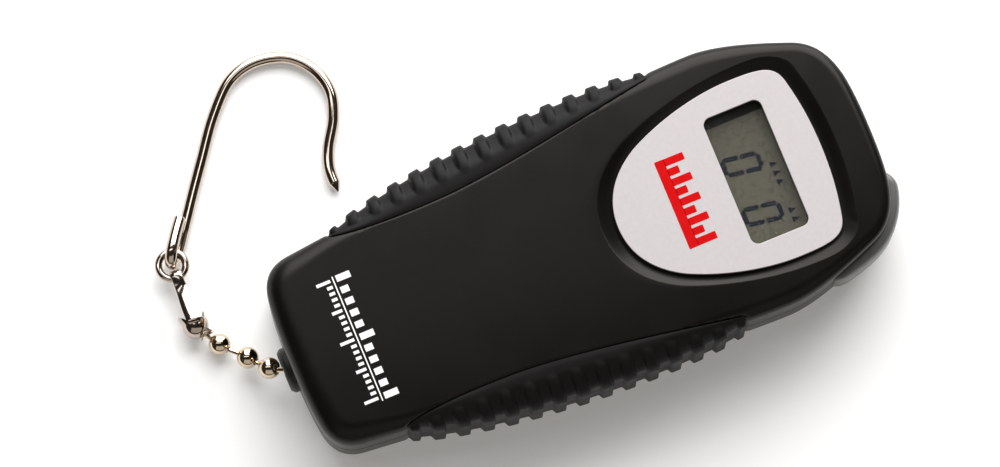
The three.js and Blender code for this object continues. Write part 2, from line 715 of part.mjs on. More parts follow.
// A bell that holds the chain's last ball, with a strap folded round the ring.
function chainClip() {
  const bore = BALL_R + 0.2;
  const wall = 0.75;
  const mouth = 1.2;
  const outside = bore + wall;
  const reach = Math.acos(-mouth / bore);
  const steps = 6;
  const profile = [];
  for (let i = 0; i <= steps; i += 1) {
    const angle = (i / steps) * reach;
    profile.push([outside * Math.sin(angle), -outside * Math.cos(angle)]);
  }
  for (let i = steps; i >= 0; i -= 1) {
    const angle = (i / steps) * reach;
    profile.push([bore * Math.sin(angle), -bore * Math.cos(angle)]);
  }
  const bell = solid(placed(turned(profile, 16), CLIP_BALL, new THREE.Vector3(1, 0, 0)));
  const loopX = RING_CENTRE.x + RING_R - STRAP_SLACK;
  const loopR = RING_WIRE_R + 0.2;
  const shape = new THREE.Shape();
  const neck = CLIP_BALL.x - outside + 0.5;
  shape.moveTo(neck, -loopR * 0.6);
  shape.lineTo(neck, loopR * 0.6);
  shape.lineTo(loopX, loopR + STRAP_THICK);
  shape.absarc(loopX, 0, loopR + STRAP_THICK, Math.PI / 2, 1.5 * Math.PI);
  const hole = new THREE.Path();
  hole.moveTo(loopX, -loopR);
  hole.absarc(loopX, 0, loopR, 1.5 * Math.PI, Math.PI / 2, true);
  hole.lineTo(neck - 2.5, 0.1);
  hole.lineTo(neck - 2.5, -0.1);
  shape.holes.push(hole);
  const strap = new THREE.ExtrudeGeometry(shape, {
    depth: STRAP_WIDTH,
    bevelEnabled: false,
    curveSegments: 8,
  });
  strap.rotateX(Math.PI / 2);
  strap.translate(0, RING_CENTRE.y + STRAP_WIDTH / 2, RING_CENTRE.z);
  return join(bell, solid(strap));
}

function splitRing() {
  const ring = new THREE.TorusGeometry(RING_R, RING_WIRE_R, 8, 24);
  ring.translate(RING_CENTRE.x, RING_CENTRE.y, RING_CENTRE.z);
  return solid(ring);
}

// The hook's centre line: a return leg over the ring, the eye's bend, the shank, and the bend.
function hookCurve() {
  const [bendX, bendY] = HOOK_BEND[0];
  const heading = new THREE.Vector3(bendX - RING_CENTRE.x, bendY - RING_CENTRE.y, 0).normalize();
  const eye = RING_CENTRE.clone().addScaledVector(heading, RING_R + EYE_SLACK);
  const eyeR = RING_CENTRE.z - HOOK_Z;
  const points = [];
  for (const distance of [8, 4])
    points.push(eye.clone().addScaledVector(heading, distance).setZ(RING_CENTRE.z + eyeR));
  for (let i = 0; i <= 4; i += 1) {
    const angle = Math.PI / 2 - (i / 4) * Math.PI;
    const along = eye.clone().addScaledVector(heading, -eyeR * Math.cos(angle));
    points.push(along.setZ(RING_CENTRE.z + eyeR * Math.sin(angle)));
  }
  for (const distance of [6, 14, 22]) {
    points.push(eye.clone().addScaledVector(heading, distance).setZ(HOOK_Z));
  }
  for (const [x, y] of [...HOOK_BEND, ...HOOK_POINT]) points.push(new THREE.Vector3(x, y, HOOK_Z));
  return new THREE.CatmullRomCurve3(points, false, "centripetal");
}

function fishHook() {
  return solid(wire(hookCurve(), HOOK_WIRE_R, 60, 5));
}

// ---------- batteries, contacts, wires and screws ----------

// A cell that stands nub first on the +X side and flat end first on the other.
function battery(side) {
  const flat = BATTERY_LENGTH - BATTERY_NUB;
  const body = [
    [0, 0],
    [BATTERY_R, 0],
    [BATTERY_R, flat],
    [BATTERY_NUB_R, flat],
    [BATTERY_NUB_R, BATTERY_LENGTH],
    [0, BATTERY_LENGTH],
  ];
  const startY = side < 0 ? BATTERY_Y0 : BATTERY_Y0 + BATTERY_LENGTH;
  const at = new THREE.Vector3(side * BATTERY_X, startY, BATTERY_Z);
  return solid(placed(turned(body, 20), at, new THREE.Vector3(0, -side, 0)));
}

function contactPlate(x0, x1, y) {
  const z = [BATTERY_Z - CONTACT_HALF, BATTERY_Z + CONTACT_HALF];
  return block([x0, x1], [y, y + CONTACT_THICK], z);
}

class ConeCoil extends THREE.Curve {
  constructor(centre, reach) {
    super();
    this.centre = centre;
    this.reach = reach;
  }

  getPoint(t, target = new THREE.Vector3()) {
    const turns = 2.5;
    const radius = 3.2 - 1.2 * t;
    const angle = 2 * Math.PI * turns * t;
    return target.set(
      this.centre.x + radius * Math.cos(angle),
      this.centre.y + this.reach * t,
      this.centre.z + radius * Math.sin(angle),
    );
  }
}

function coil(x, y, reach) {
  return solid(wire(new ConeCoil(new THREE.Vector3(x, y, BATTERY_Z), reach), 0.3, 30, 3));
}

const NEAR_CONTACT_Y = BAY_Y[0] + CONTACT_GAP;
const FAR_CONTACT_Y = BAY_Y[1] - CONTACT_GAP - CONTACT_THICK;

// The -X cell stands with its flat end at the near wall and the +X cell with its nub there.
function nearSpringContact() {
  const plate = contactPlate(-BATTERY_X - CONTACT_HALF, -BATTERY_X + CONTACT_HALF, NEAR_CONTACT_Y);
  return join(plate, coil(-BATTERY_X, NEAR_CONTACT_Y + 0.3, 1.7));
}

function nearPlateContact() {
  const plate = contactPlate(BATTERY_X - CONTACT_HALF, BATTERY_X + CONTACT_HALF, NEAR_CONTACT_Y);
  const from = new THREE.Vector3(BATTERY_X, NEAR_CONTACT_Y + 0.2, BATTERY_Z);
  const to = new THREE.Vector3(BATTERY_X, BATTERY_Y0 - 0.1, BATTERY_Z);
  return join(plate, rod(2.4, from, to, 12));
}

function bridgeContact() {
  const plate = contactPlate(-BATTERY_X - CONTACT_HALF, BATTERY_X + CONTACT_HALF, FAR_CONTACT_Y);
  const reach = BATTERY_Y0 + BATTERY_LENGTH - FAR_CONTACT_Y + 0.6;
  return join(plate, coil(BATTERY_X, FAR_CONTACT_Y + 0.1, reach));
}

// An insulated wire through points.
function lead(points, radius) {
  const through = points.map((point) => new THREE.Vector3(...point));
  const curve = new THREE.CatmullRomCurve3(through, false, "centripetal");
  return solid(wire(curve, radius, 3 * points.length, 3));
}

// A battery wire on one side: out of the bay's wall, over its roof and down to the board.
function batteryLead(side) {
  const points = [
    [8, BAY_Y[0] - BAY_WALL - 1.2, 9],
    [8.5, 5, 12],
    [9, 3.2, 14.4],
    [9.5, 3, 17.5],
    [9.5, 6, 18.6],
    [9.5, 9, 17.8],
  ];
  return lead(points.map(([x, y, z]) => [side * x, y, z]), 0.55);
}

// The gauge's wires, from the beam over the bracket to the board.
function cellLead() {
  const points = [
    [4, -43.2, 16.3],
    [6, -38, 17.6],
    [9, -28, 18.4],
    [8, -14, 18.6],
    [3, -4, 18.7],
    [0, 4, 18.7],
    [0, 9, 17.9],
  ];
  return lead(points, 0.8);
}

// A screw whose head rests at seat and whose tip points up or down, with a hex drive.
function screw(at, [seat, tip], { radius, headR, headHeight }) {
  const up = Math.sign(tip - seat);
  const length = Math.abs(tip - seat);
  const points = [
    [0, -headHeight],
    [headR * 0.8, -headHeight],
    [headR, -headHeight * 0.5],
    [headR, 0],
    [radius, 0],
    [radius, length - 1],
    [0, length],
  ];
  const axis = new THREE.Vector3(0, 0, up);
  const whole = solid(placed(turned(points, 12), new THREE.Vector3(...at, seat), axis));
  const socket = [seat - up * (headHeight + 0.5), seat - up * headHeight * 0.5];
  return cut(whole, uprightRod(headR * 0.4, at, socket.sort((a, b) => a - b), 6));
}

// ---------- assembly ----------

const group = new THREE.Group();

function add(name, body, color, roughness, metalness) {
  const material = new THREE.MeshStandardMaterial({ color, roughness, metalness });
  const mesh = new THREE.Mesh(geometryOf(body), material);
  mesh.name = name;
  group.add(mesh);
  return mesh;
}

const BLACK = [0x1e1d1d, 0.6, 0];
const RUBBER = [0x171717, 0.75, 0];
const NICKEL = [0xb9ada0, 0.2, 1];
const STEEL = [0x9a9a9c, 0.35, 1];
const SILVER = [0xdcd6d6, 0.45, 0.3];
const GREY_RUBBER = [0x6a716c, 0.55, 0];
const BOARD_GREEN = [0x2d5a3b, 0.5, 0];

const hollow = hollowCase();
const grip = gripSolid();
add("front_shell", frontShell(hollow), ...BLACK);
add("rear_shell", rearShell(hollow), ...BLACK);
add("grip_right", grip, ...RUBBER);
add("grip_left", grip, ...RUBBER).scale.x = -1;
add("battery_door", batteryDoor(), ...BLACK);

add("display_plate", displayPlate(), ...SILVER);
add("display_pane", displayPane(), 0xdfe6e6, 0.05, 0);
add("lcd_panel", lcdPanel(), 0x6b6a5a, 0.3, 0);
add("lcd_holder", lcdHolder(), 0xe8e6e0, 0.6, 0);
add("zebra_strip_near", zebraStrip(ZEBRA_Y[0]), 0x3a3a3a, 0.8, 0);
add("zebra_strip_far", zebraStrip(ZEBRA_Y[1]), 0x3a3a3a, 0.8, 0);

add("main_board", mainBoard(), ...BOARD_GREEN);
add("chip_cover", chipCover(), 0x111111, 0.3, 0);
add("crystal_can", crystalCan(), ...STEEL);
add("power_switch", tactSwitch(), 0x2a2a2c, 0.5, 0);
add("power_button", powerButton(), ...GREY_RUBBER);

add("load_cell", loadCell(), ...STEEL);
add("strain_gauge", strainGauge(), 0xd8b25a, 0.6, 0);
add("anchor_bracket", anchorBracket(), ...STEEL);
add("anchor_bolt", anchorBolt(), ...STEEL);
add("draw_rod", drawRod(), ...STEEL);
add("exit_bush", exitBush(), ...BLACK);

const beads = chainAxes();
add("end_ball", chainBall(beads[0]), ...NICKEL);
CHAIN_BALLS.forEach((_, i) => add(`chain_ball_${i + 1}`, chainBall(beads[i + 1]), ...NICKEL));
add("clip_ball", chainBall(beads[beads.length - 1]), ...NICKEL);
for (let i = 1; i < beads.length; i += 1)
  add(`chain_link_${i}`, chainLink(beads[i - 1], beads[i]), ...NICKEL);
add("chain_clip", chainClip(), ...NICKEL);
add("swivel_ring", splitRing(), ...NICKEL);
add("hook", fishHook(), ...NICKEL);

add("battery_left", battery(-1), 0x3b3f45, 0.4, 0.6);
add("battery_right", battery(1), 0x3b3f45, 0.4, 0.6);
add("battery_spring_contact", nearSpringContact(), ...STEEL);
add("battery_plate_contact", nearPlateContact(), ...STEEL);
add("battery_bridge_contact", bridgeContact(), ...STEEL);

add("battery_lead_red", batteryLead(1), 0xa02020, 0.5, 0);
add("battery_lead_black", batteryLead(-1), 0x151515, 0.5, 0);
add("cell_lead", cellLead(), 0xcfcfcf, 0.6, 0);

CASE_SCREWS.forEach((at, i) => {
  add(`case_screw_${i + 1}`, screw(at, [SCREW_SEAT_Z, SCREW_TIP_Z], CASE_SCREW), ...STEEL);
});
BOARD_SCREWS.forEach((at, i) => {
  add(`board_screw_${i + 1}`, screw(at, [BOARD_Z, BOARD_SCREW_TIP_Z], BOARD_SCREW), ...STEEL);
});
BRACKET_SCREWS.forEach((at, i) => {
  const ends = [BRACKET_Z + BRACKET_THICK + 0.03, 1.6];
  add(`bracket_screw_${i + 1}`, screw(at, ends, BRACKET_SCREW), ...STEEL);
});

export default group;
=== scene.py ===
"""Digital fish scale: the looks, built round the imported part.

Lengths are in millimetres until a mesh is made, in the part's own frame: the case lies on its
back on z = 0, +Y runs to the display end, and the chain and hook leave the -Y end.
"""

import json
import math

import bmesh
import bpy
import numpy as np
from mathutils import Matrix


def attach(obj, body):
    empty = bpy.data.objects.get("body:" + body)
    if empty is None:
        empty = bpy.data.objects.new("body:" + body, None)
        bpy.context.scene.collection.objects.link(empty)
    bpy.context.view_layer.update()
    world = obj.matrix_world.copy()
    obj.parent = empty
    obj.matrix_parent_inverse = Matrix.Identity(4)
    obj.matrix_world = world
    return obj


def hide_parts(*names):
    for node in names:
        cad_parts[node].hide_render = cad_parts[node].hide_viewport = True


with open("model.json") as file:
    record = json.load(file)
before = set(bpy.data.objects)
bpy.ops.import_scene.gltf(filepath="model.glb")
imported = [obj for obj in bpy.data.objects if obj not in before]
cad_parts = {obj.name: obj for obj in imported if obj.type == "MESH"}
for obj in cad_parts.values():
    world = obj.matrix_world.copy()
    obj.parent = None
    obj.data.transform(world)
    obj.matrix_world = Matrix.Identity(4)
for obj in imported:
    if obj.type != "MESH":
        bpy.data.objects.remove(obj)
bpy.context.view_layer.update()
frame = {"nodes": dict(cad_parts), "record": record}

# ---------- driving dimensions ----------

MM = 0.001
THICKNESS = 27.0
PARTING_Z = 13.5
HALF_WIDTH = 30.15
HALF_LENGTH = 69.2
SKIN = 1.7
PARTING_GAP = 0.16
CROWN_SIDE = 1.5
CROWN_END = 0.5
ROLL_SIDE = 3.5
ROLL_HOOK_END = 5.2
ROLL_END = 2.4
ROLL_HEIGHT = 0.92
ROLL_POWER = 0.92
ROLL_BACK = 3.8
AROUND = 560

CASE_START = (0, -69.2)
CASE_CURVES = [
    [(7, -69.2), (12, -68.9), (15.5, -68.3)],
    [(19.5, -67.6), (22, -65.4), (22.5, -61)],
    [(24, -45), (30.15, 15), (30.15, 38)],
    [(30.15, 44), (27.6, 51.5), (24.2, 60)],
    [(22.6, 64.2), (19.5, 67.2), (12.5, 68.5)],
    [(8.5, 69.1), (4, 69.2), (0, 69.2)],
]
PLATE_START = (0, 9.1)
PLATE_CURVES = [
    [(6.5, 9.1), (11.5, 12.6), (15, 18.9)],
    [(18.2, 25.2), (21.1, 35), (21.1, 44)],
    [(21.1, 52.5), (20.4, 55.2), (15.3, 56)],
    [(10, 57.2), (5, 57.6), (0, 57.6)],
]

RECESS_Z = 24.9
RECESS_FLARE = 2.3
RECESS_END_FLARE = 1.3
RECESS_MIDDLE_Y = 34
RECESS_HALF_Y = 24
ROOF_Z = 22.9
PLATE_Z = (24.95, 25.95)
WINDOW_HALF_X = 15.1
WINDOW_Y = (35.2, 48.9)
WINDOW_CORNER = 1.8
OPENING_HALF_X = 16.0
OPENING_Y = (34.0, 50.1)
RAY_CENTRE = np.array([0.0, 42.0])
LCD_TOP = 22.7

GRIP_Y = (-51.0, 28.0)
GRIP_OUTER = [
    [(27.5, -40), (31.2, -16), (31.1, 10)],
    [(31.03, 18), (30.53, 24), (29.6, 28)],
]
GRIP_INNER = [
    [(21, -44), (21, -32), (21.4, -22)],
    [(22.5, -6), (26.5, 14), (28.8, 28)],
]
GRIP_START = (23, -51)
RIB_COUNT = 13
RIB_PITCH = 5.44
RIB_FIRST_Y = -44.3
RIB_WIDTH = 2.8
RIB_PROUD = 1.05
RIB_FLANK = 0.4
NUB_WIDTH = 2.0
NUB_PROUD = 0.9
NUB_INSET = 1.7
POCKET_DEPTH = 0.95
PAD_GAP = 0.03

BAY_OUTSIDE = [(-12.5, 12.5), (7.2, 59), (1.2, 14.1)]
BAY_INSIDE = [(-11.3, 11.3), (8.4, 57.8), (-1, 12.9)]
DOOR_SEAT = [(-14, 14), (6, 80), (-1, 1.6)]
DOOR_GROOVE = [(-15.2, 15.2), (6, 80), (0.6, 1.6)]
CASE_SCREWS = [(-16.5, -59), (16.5, -59), (-22.5, 40), (22.5, 40)]
SCREW_HOLE = 2.5

BUTTON_Z = (7.0, 20.0)
BUTTON_SINK = 0.9
BUTTON_END = 2.2
BUTTON_GROW = 0.3
BUTTON_INNER_START = (27.9, 49.2)
BUTTON_INNER = [
    [(27, 52), (25.2, 55.8), (23.6, 59.8)],
    [(21.8, 63.8), (19, 67), (9.8, 68.4)],
]
BUTTON_OUTER_START = (29.3, 50.4)
BUTTON_OUTER = [
    [(28.6, 55), (27.2, 60), (25.6, 62.6)],
    [(23, 67), (17.5, 70.7), (11.8, 70.9)],
]

PULL_Z = 12.0
BUSH_FACE_Y = -71.0
BALL_R = 2.45
BALL_BORE = 2.0
BALL_HOLE = 0.85
BALL_PIVOT = 2.1
LINK_R = 0.55
END_BALL = (0, -68.6, 12)
CHAIN_BALLS = [(-2.5, -73.6, 8.8), (-7, -77.1, 4.4), (-12.4, -81.7, 2.5)]
CLIP_BALL = (-18.2, -85.1, 3.8)
RING_CENTRE = (-32.7, -84.9, 3.8)
RING_R = 3.05
RING_WIRE_R = 0.85
HOOK_WIRE_R = 1.4
HOOK_Z = 1.4
EYE_SLACK = -0.3


# ---------- lines ----------


def smooth(low, high, value):
    t = np.clip((np.asarray(value, float) - low) / (high - low), 0, 1)
    return t * t * (3 - 2 * t)


def bezier_line(start, curves, steps=40):
    """The points of a chain of cubic curves."""
    points = [np.array(start, float)]
    for a, b, c in curves:
        first = points[-1]
        a, b, c = (np.array(p, float) for p in (a, b, c))
        for i in range(1, steps + 1):
            t = i / steps
            points.append(
                (1 - t) ** 3 * first
                + 3 * (1 - t) ** 2 * t * a
                + 3 * (1 - t) * t**2 * b
                + t**3 * c
            )
    return np.array(points)


def even_points(line, shares):
    """The points at these shares of a line's length."""
    steps = np.linalg.norm(np.diff(line, axis=0), axis=1)
    reached = np.concatenate([[0], np.cumsum(steps)])
    at = np.asarray(shares) * reached[-1]
    return np.column_stack([np.interp(at, reached, line[:, k]) for k in range(line.shape[1])])


def closed_outline(start, curves, count):
    """A closed line, mirrored about x = 0, as evenly spaced points, anticlockwise."""
    right = bezier_line(start, curves)
    left = right[-2:0:-1] * (-1, 1)
    loop = np.vstack([right, left, right[:1]])
    return even_points(loop, np.arange(count) / count)


def rounded_rect(half_x, y_range, corner, steps=8):
    """A closed rounded rectangle, anticlockwise."""
    points = []
    centres = [
        (half_x - corner, y_range[0] + corner),
        (half_x - corner, y_range[1] - corner),
        (-half_x + corner, y_range[1] - corner),
        (-half_x + corner, y_range[0] + corner),
    ]
    for k, (x, y) in enumerate(centres):
        for i in range(steps + 1):
            angle = math.pi / 2 * (k - 1 + i / steps)
            points.append((x + corner * math.cos(angle), y + corner * math.sin(angle)))
    return np.array(points)


def outward(loop):
    """The outward direction at each point of an anticlockwise closed line."""
    along = np.roll(loop, -1, axis=0) - np.roll(loop, 1, axis=0)
    normal = np.column_stack([along[:, 1], -along[:, 0]])
    return normal / np.linalg.norm(normal, axis=1)[:, None]


def on_rays(loop, angles):
    """Where rays from the window's middle, at these angles, cross a closed line."""
    dense = even_points(np.vstack([loop, loop[:1]]), np.arange(2400) / 2400)
    offset = dense - RAY_CENTRE
    found = np.arctan2(offset[:, 1], offset[:, 0])
    order = np.argsort(found)
    radius = np.linalg.norm(offset, axis=1)
    reach = np.interp(angles, found[order], radius[order], period=2 * np.pi)
    return RAY_CENTRE + reach[:, None] * np.column_stack([np.cos(angles), np.sin(angles)])


def unit(vector):
    vector = np.asarray(vector, float)
    return vector / np.linalg.norm(vector)


# ---------- meshes ----------


def placed(name, data):
    """A new object in the scene."""
    thing = bpy.data.objects.new(name, data)
    bpy.context.scene.collection.objects.link(thing)
    return thing


def make_piece(name, points, faces, material, body, sharp=40):
    """A mesh object from points in millimetres, smooth apart from edges sharper than an angle."""
    mesh = bpy.data.meshes.new(name)
    mesh.from_pydata([tuple(float(v) * MM for v in p) for p in points], [], faces)
    mesh.validate()
    mesh.polygons.foreach_set("use_smooth", [True] * len(mesh.polygons))
    mesh.set_sharp_from_angle(angle=math.radians(sharp))
    mesh.materials.append(material)
    piece = placed(name, mesh)
    if body:
        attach(piece, body)
    return piece


def ring_faces(rows, columns, closed_rows=False, closed_columns=True, first=0):
    """Quads between successive rings of the same number of points."""
    faces = []
    for r in range(rows if closed_rows else rows - 1):
        below = first + r * columns
        above = first + (r + 1) % rows * columns
        for c in range(columns if closed_columns else columns - 1):
            d = (c + 1) % columns
            faces.append((below + c, below + d, above + d, above + c))
    return faces


def lofted(rings, cap_first=False, cap_last=False):
    """Points and faces of a skin over rings, with flat caps where asked."""
    rings = np.asarray(rings, float)
    rows, columns = rings.shape[:2]
    faces = ring_faces(rows, columns)
    if cap_first:
        faces.append(tuple(range(columns - 1, -1, -1)))
    if cap_last:
        start = (rows - 1) * columns
        faces.append(tuple(range(start, start + columns)))
    return rings.reshape(-1, 3), faces


def merged(*parts):
    """Several (points, faces) as one."""
    points, faces, first = [], [], 0
    for part_points, part_faces in parts:
        points.extend(part_points)
        faces.extend(tuple(i + first for i in face) for face in part_faces)
        first += len(part_points)
    return points, faces


def side_directions(along):
    """Two directions at right angles to a direction."""
    along = unit(along)
    helper = np.array([0, 0, 1.0]) if abs(along[2]) < 0.9 else np.array([1.0, 0, 0])
    across = unit(np.cross(helper, along))
    return across, np.cross(along, across)


def circle(across, up, sides):
    """Directions all round a circle in the plane of two directions."""
    angles = 2 * np.pi * np.arange(sides) / sides
    return np.outer(np.cos(angles), across) + np.outer(np.sin(angles), up)


def turned_rings(profile, centre, axis, sides):
    """The rings that (radius, height) points make when they are turned about an axis."""
    around = circle(*side_directions(axis), sides)
    axis = unit(axis)
    return [np.array(centre) + height * axis + radius * around for radius, height in profile]


def turned(profile, centre, axis, sides=48):
    """A shape turned about an axis, from (radius, height) points in rising order outside."""
    rings = turned_rings(profile, centre, axis, sides)
    return lofted(rings, cap_first=profile[0][0] > 0, cap_last=profile[-1][0] > 0)


def turned_closed(profile, centre, axis, sides=48):
    """A turned ring: its profile is a closed line that doesn't meet the axis."""
    rings = turned_rings(profile, centre, axis, sides)
    return np.array(rings).reshape(-1, 3), ring_faces(len(rings), sides, closed_rows=True)


def carried_frames(path):
    """Pairs of directions across a path that turn as little as possible along it."""
    tangents = np.gradient(path, axis=0)
    tangents /= np.linalg.norm(tangents, axis=1)[:, None]
    across, _ = side_directions(tangents[0])
    sides = []
    for tangent in tangents:
        across = unit(across - tangent * np.dot(across, tangent))
        sides.append((across, np.cross(tangent, across)))
    return sides


def swept(path, radii, sides=24):
    """A round wire along a path, with a radius at each point."""
    path = np.asarray(path, float)
    rings = [
        point + radius * circle(across, up, sides)
        for point, radius, (across, up) in zip(path, radii, carried_frames(path))
    ]
    return lofted(rings, cap_first=True, cap_last=True)


def settled(piece):
    """Applies a piece's modifiers and marks its sharp edges again."""
    graph = bpy.context.evaluated_depsgraph_get()
    mesh = bpy.data.meshes.new_from_object(piece.evaluated_get(graph))
    piece.modifiers.clear()
    piece.data = mesh
    mesh.polygons.foreach_set("use_smooth", [True] * len(mesh.polygons))
    mesh.set_sharp_from_angle(angle=math.radians(38))
    return piece


def thickened(piece, thickness):
    """Gives a skin a wall on its inner side."""
    modifier = piece.modifiers.new("wall", "SOLIDIFY")
    modifier.thickness = thickness * MM
    modifier.offset = -1
    return settled(piece)


def carved(piece, *tools, operation="DIFFERENCE"):
    """Cuts pieces out of a piece, or joins them to it, and removes them."""
    for tool in tools:
        modifier = piece.modifiers.new("carve", "BOOLEAN")
        modifier.operation = operation
        modifier.solver = "EXACT"
        modifier.object = tool
    settled(piece)
    for tool in tools:
        bpy.data.objects.remove(tool)
    return piece


def tool_box(x, y, z):
    """A box to cut with."""
    points = [(i, j, k) for k in z for j in y for i in x]
    faces = [(0, 2, 3, 1), (4, 5, 7, 6), (0, 1, 5, 4), (2, 6, 7, 3), (0, 4, 6, 2), (1, 3, 7, 5)]
    return make_piece("tool", points, faces, CASE_BLACK, None)


def tool_rod(radius, start, end):
    """A cylinder to cut with."""
    along = np.subtract(end, start)
    length = float(np.linalg.norm(along))
    shape = turned([(radius, 0), (radius, length)], start, along)
    return make_piece("tool", *shape, CASE_BLACK, None)


def flat_piece(name, loops, z_range, material, body, bevel=0.0):
    """A flat piece from closed lines, the later ones holes in the first."""
    curve = bpy.data.curves.new(name, "CURVE")
    curve.dimensions = "2D"
    curve.fill_mode = "BOTH"
    middle = sum(z_range) / 2
    curve.extrude = ((z_range[1] - z_range[0]) / 2 - bevel) * MM
    curve.bevel_depth = bevel * MM
    curve.offset = -bevel * MM
    curve.bevel_resolution = 2
    for loop in loops:
        spline = curve.splines.new("POLY")
        spline.points.add(len(loop) - 1)
        spline.use_cyclic_u = True
        for point, (x, y) in zip(spline.points, loop):
            point.co = (x * MM, y * MM, 0, 1)
    holder = placed(name + "_line", curve)
    graph = bpy.context.evaluated_depsgraph_get()
    mesh = bpy.data.meshes.new_from_object(holder.evaluated_get(graph))
    bpy.data.objects.remove(holder)
    mesh.name = name
    mesh.transform(Matrix.Translation((0, 0, middle * MM)))
    weld = bmesh.new()
    weld.from_mesh(mesh)
    bmesh.ops.remove_doubles(weld, verts=weld.verts, dist=1e-7)
    weld.to_mesh(mesh)
    weld.free()
    mesh.materials.clear()
    mesh.materials.append(material)
    level = [abs(polygon.normal.z) > 0.999 for polygon in mesh.polygons]
    mesh.polygons.foreach_set("use_smooth", [not is_level for is_level in level])
    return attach(placed(name, mesh), body)


# ---------- materials ----------


def noise(nodes, links, coordinates, size, detail=4.0, stretch=(1, 1, 1)):
    """A noise texture whose features are about a size, in millimetres."""
    mapping = nodes.new("ShaderNodeMapping")
    mapping.inputs["Scale"].default_value = stretch
    texture = nodes.new("ShaderNodeTexNoise")
    texture.inputs["Scale"].default_value = 1 / (size * MM)
    texture.inputs["Detail"].default_value = detail
    links.new(coordinates, mapping.inputs["Vector"])
    links.new(mapping.outputs["Vector"], texture.inputs["Vector"])
    return texture.outputs["Fac"]


def spread(nodes, links, value, low, high, from_low=0.3, from_high=0.7):
    """A 0 to 1 noise value moved to a range."""
    ranged = nodes.new("ShaderNodeMapRange")
    ranged.inputs["From Min"].default_value = from_low
    ranged.inputs["From Max"].default_value = from_high
    ranged.inputs["To Min"].default_value = low
    ranged.inputs["To Max"].default_value = high
    links.new(value, ranged.inputs["Value"])
    return ranged.outputs["Result"]


def surface(
    name, colour, shade, roughness, patch=8.0, grain=0.25, bump=0.02, stretch=(1, 1, 1), **sockets
):
    """A node material: the colour drifts to a shade over patches, and the roughness with it,
    and a fine grain gives the bump. Sizes are in millimetres."""
    material = bpy.data.materials.new(name)
    material.use_nodes = True
    nodes, links = material.node_tree.nodes, material.node_tree.links
    shader = nodes["Principled BSDF"]
    coordinates = nodes.new("ShaderNodeTexCoord").outputs["Object"]
    drift = noise(nodes, links, coordinates, patch, stretch=stretch)
    fine = noise(nodes, links, coordinates, grain, detail=3.0, stretch=stretch)
    both = nodes.new("ShaderNodeMath")
    both.operation = "ADD"
    both.use_clamp = True
    links.new(spread(nodes, links, drift, 0.0, 0.6), both.inputs[0])
    links.new(spread(nodes, links, fine, 0.0, 0.4), both.inputs[1])
    mix = nodes.new("ShaderNodeMix")
    mix.data_type = "RGBA"
    mix.inputs["A"].default_value = (*colour, 1)
    mix.inputs["B"].default_value = (*shade, 1)
    links.new(both.outputs["Value"], mix.inputs["Factor"])
    links.new(mix.outputs["Result"], shader.inputs["Base Color"])
    links.new(spread(nodes, links, drift, *roughness), shader.inputs["Roughness"])
    if bump:
        height = nodes.new("ShaderNodeBump")
        height.inputs["Strength"].default_value = 0.6
        height.inputs["Distance"].default_value = bump * MM
        links.new(fine, height.inputs["Height"])
        links.new(height.outputs["Normal"], shader.inputs["Normal"])
    for socket, value in sockets.items():
        shader.inputs[socket.replace("_", " ")].default_value = value
    return material


CASE_BLACK = surface(
    "case_black", (0.0034, 0.0029, 0.0025), (0.0048, 0.0042, 0.0037), (0.29, 0.35),
    patch=14, grain=0.3, bump=0.01, Specular_IOR_Level=0.18, Specular_Tint=(1.0, 0.94, 0.89, 1.0),
)
GRIP_RUBBER = surface(
    "grip_rubber", (0.0036, 0.0032, 0.0029), (0.0052, 0.0048, 0.0044), (0.42, 0.52),
    patch=9, grain=0.35, bump=0.015, Specular_IOR_Level=0.13,
)
BUSH_BLACK = surface(
    "bush_black", (0.006, 0.0056, 0.0052), (0.009, 0.0084, 0.008), (0.38, 0.5),
    patch=4, grain=0.2, bump=0.015, Specular_IOR_Level=0.3,
)
PLATE_SILVER = surface(
    "display_silver", (0.475, 0.442, 0.445), (0.515, 0.482, 0.485), (0.36, 0.44),
    patch=0.9, grain=0.16, bump=0.006, Specular_IOR_Level=0.3,
)
LCD_GLASS = surface(
    "lcd_glass", (0.080, 0.075, 0.052), (0.090, 0.085, 0.060), (0.25, 0.32),
    patch=1.1, grain=0.3, bump=0.0, Specular_IOR_Level=0.25,
)
SEGMENT_INK = surface(
    "segment_ink", (0.004, 0.006, 0.011), (0.006, 0.008, 0.014), (0.3, 0.4),
    patch=1.5, grain=0.2, bump=0.0, Specular_IOR_Level=0.15,
)
RED_PRINT = surface(
    "red_print", (0.50, 0.002, 0.003), (0.56, 0.004, 0.005), (0.4, 0.5),
    patch=2, grain=0.2, bump=0.004, Specular_IOR_Level=0.05,
)
# Painted shadow: a near-black finish for the band laid over the -X end of the window. It stands in for
# the shadow that the window's edge casts on the display.
LCD_PAINTED_SHADOW = surface(
    "lcd_painted_shadow", (0.006, 0.005, 0.004), (0.009, 0.0075, 0.006), (0.5, 0.6),
    patch=2, grain=0.3, bump=0.0, Specular_IOR_Level=0.1,
)
WHITE_PRINT = surface(
    "white_print", (0.86, 0.85, 0.84), (0.92, 0.91, 0.9), (0.45, 0.55),
    patch=2, grain=0.2, bump=0.006,
)
BUTTON_RUBBER = surface(
    "button_rubber", (0.095, 0.100, 0.093), (0.115, 0.120, 0.112), (0.34, 0.44),
    patch=5, grain=0.3, bump=0.01, Subsurface_Weight=0.15, Subsurface_Scale=0.002,
    Specular_IOR_Level=0.5,
)
CHAIN_NICKEL = surface(
    "chain_nickel", (0.64, 0.52, 0.37), (0.70, 0.59, 0.45), (0.06, 0.11),
    patch=2.5, grain=1.6, bump=0.0025, Metallic=1.0,
)
CLIP_NICKEL = surface(
    "clip_nickel", (0.44, 0.37, 0.32), (0.50, 0.43, 0.38), (0.08, 0.14),
    patch=2.0, grain=1.6, bump=0.0025, Metallic=1.0,
)
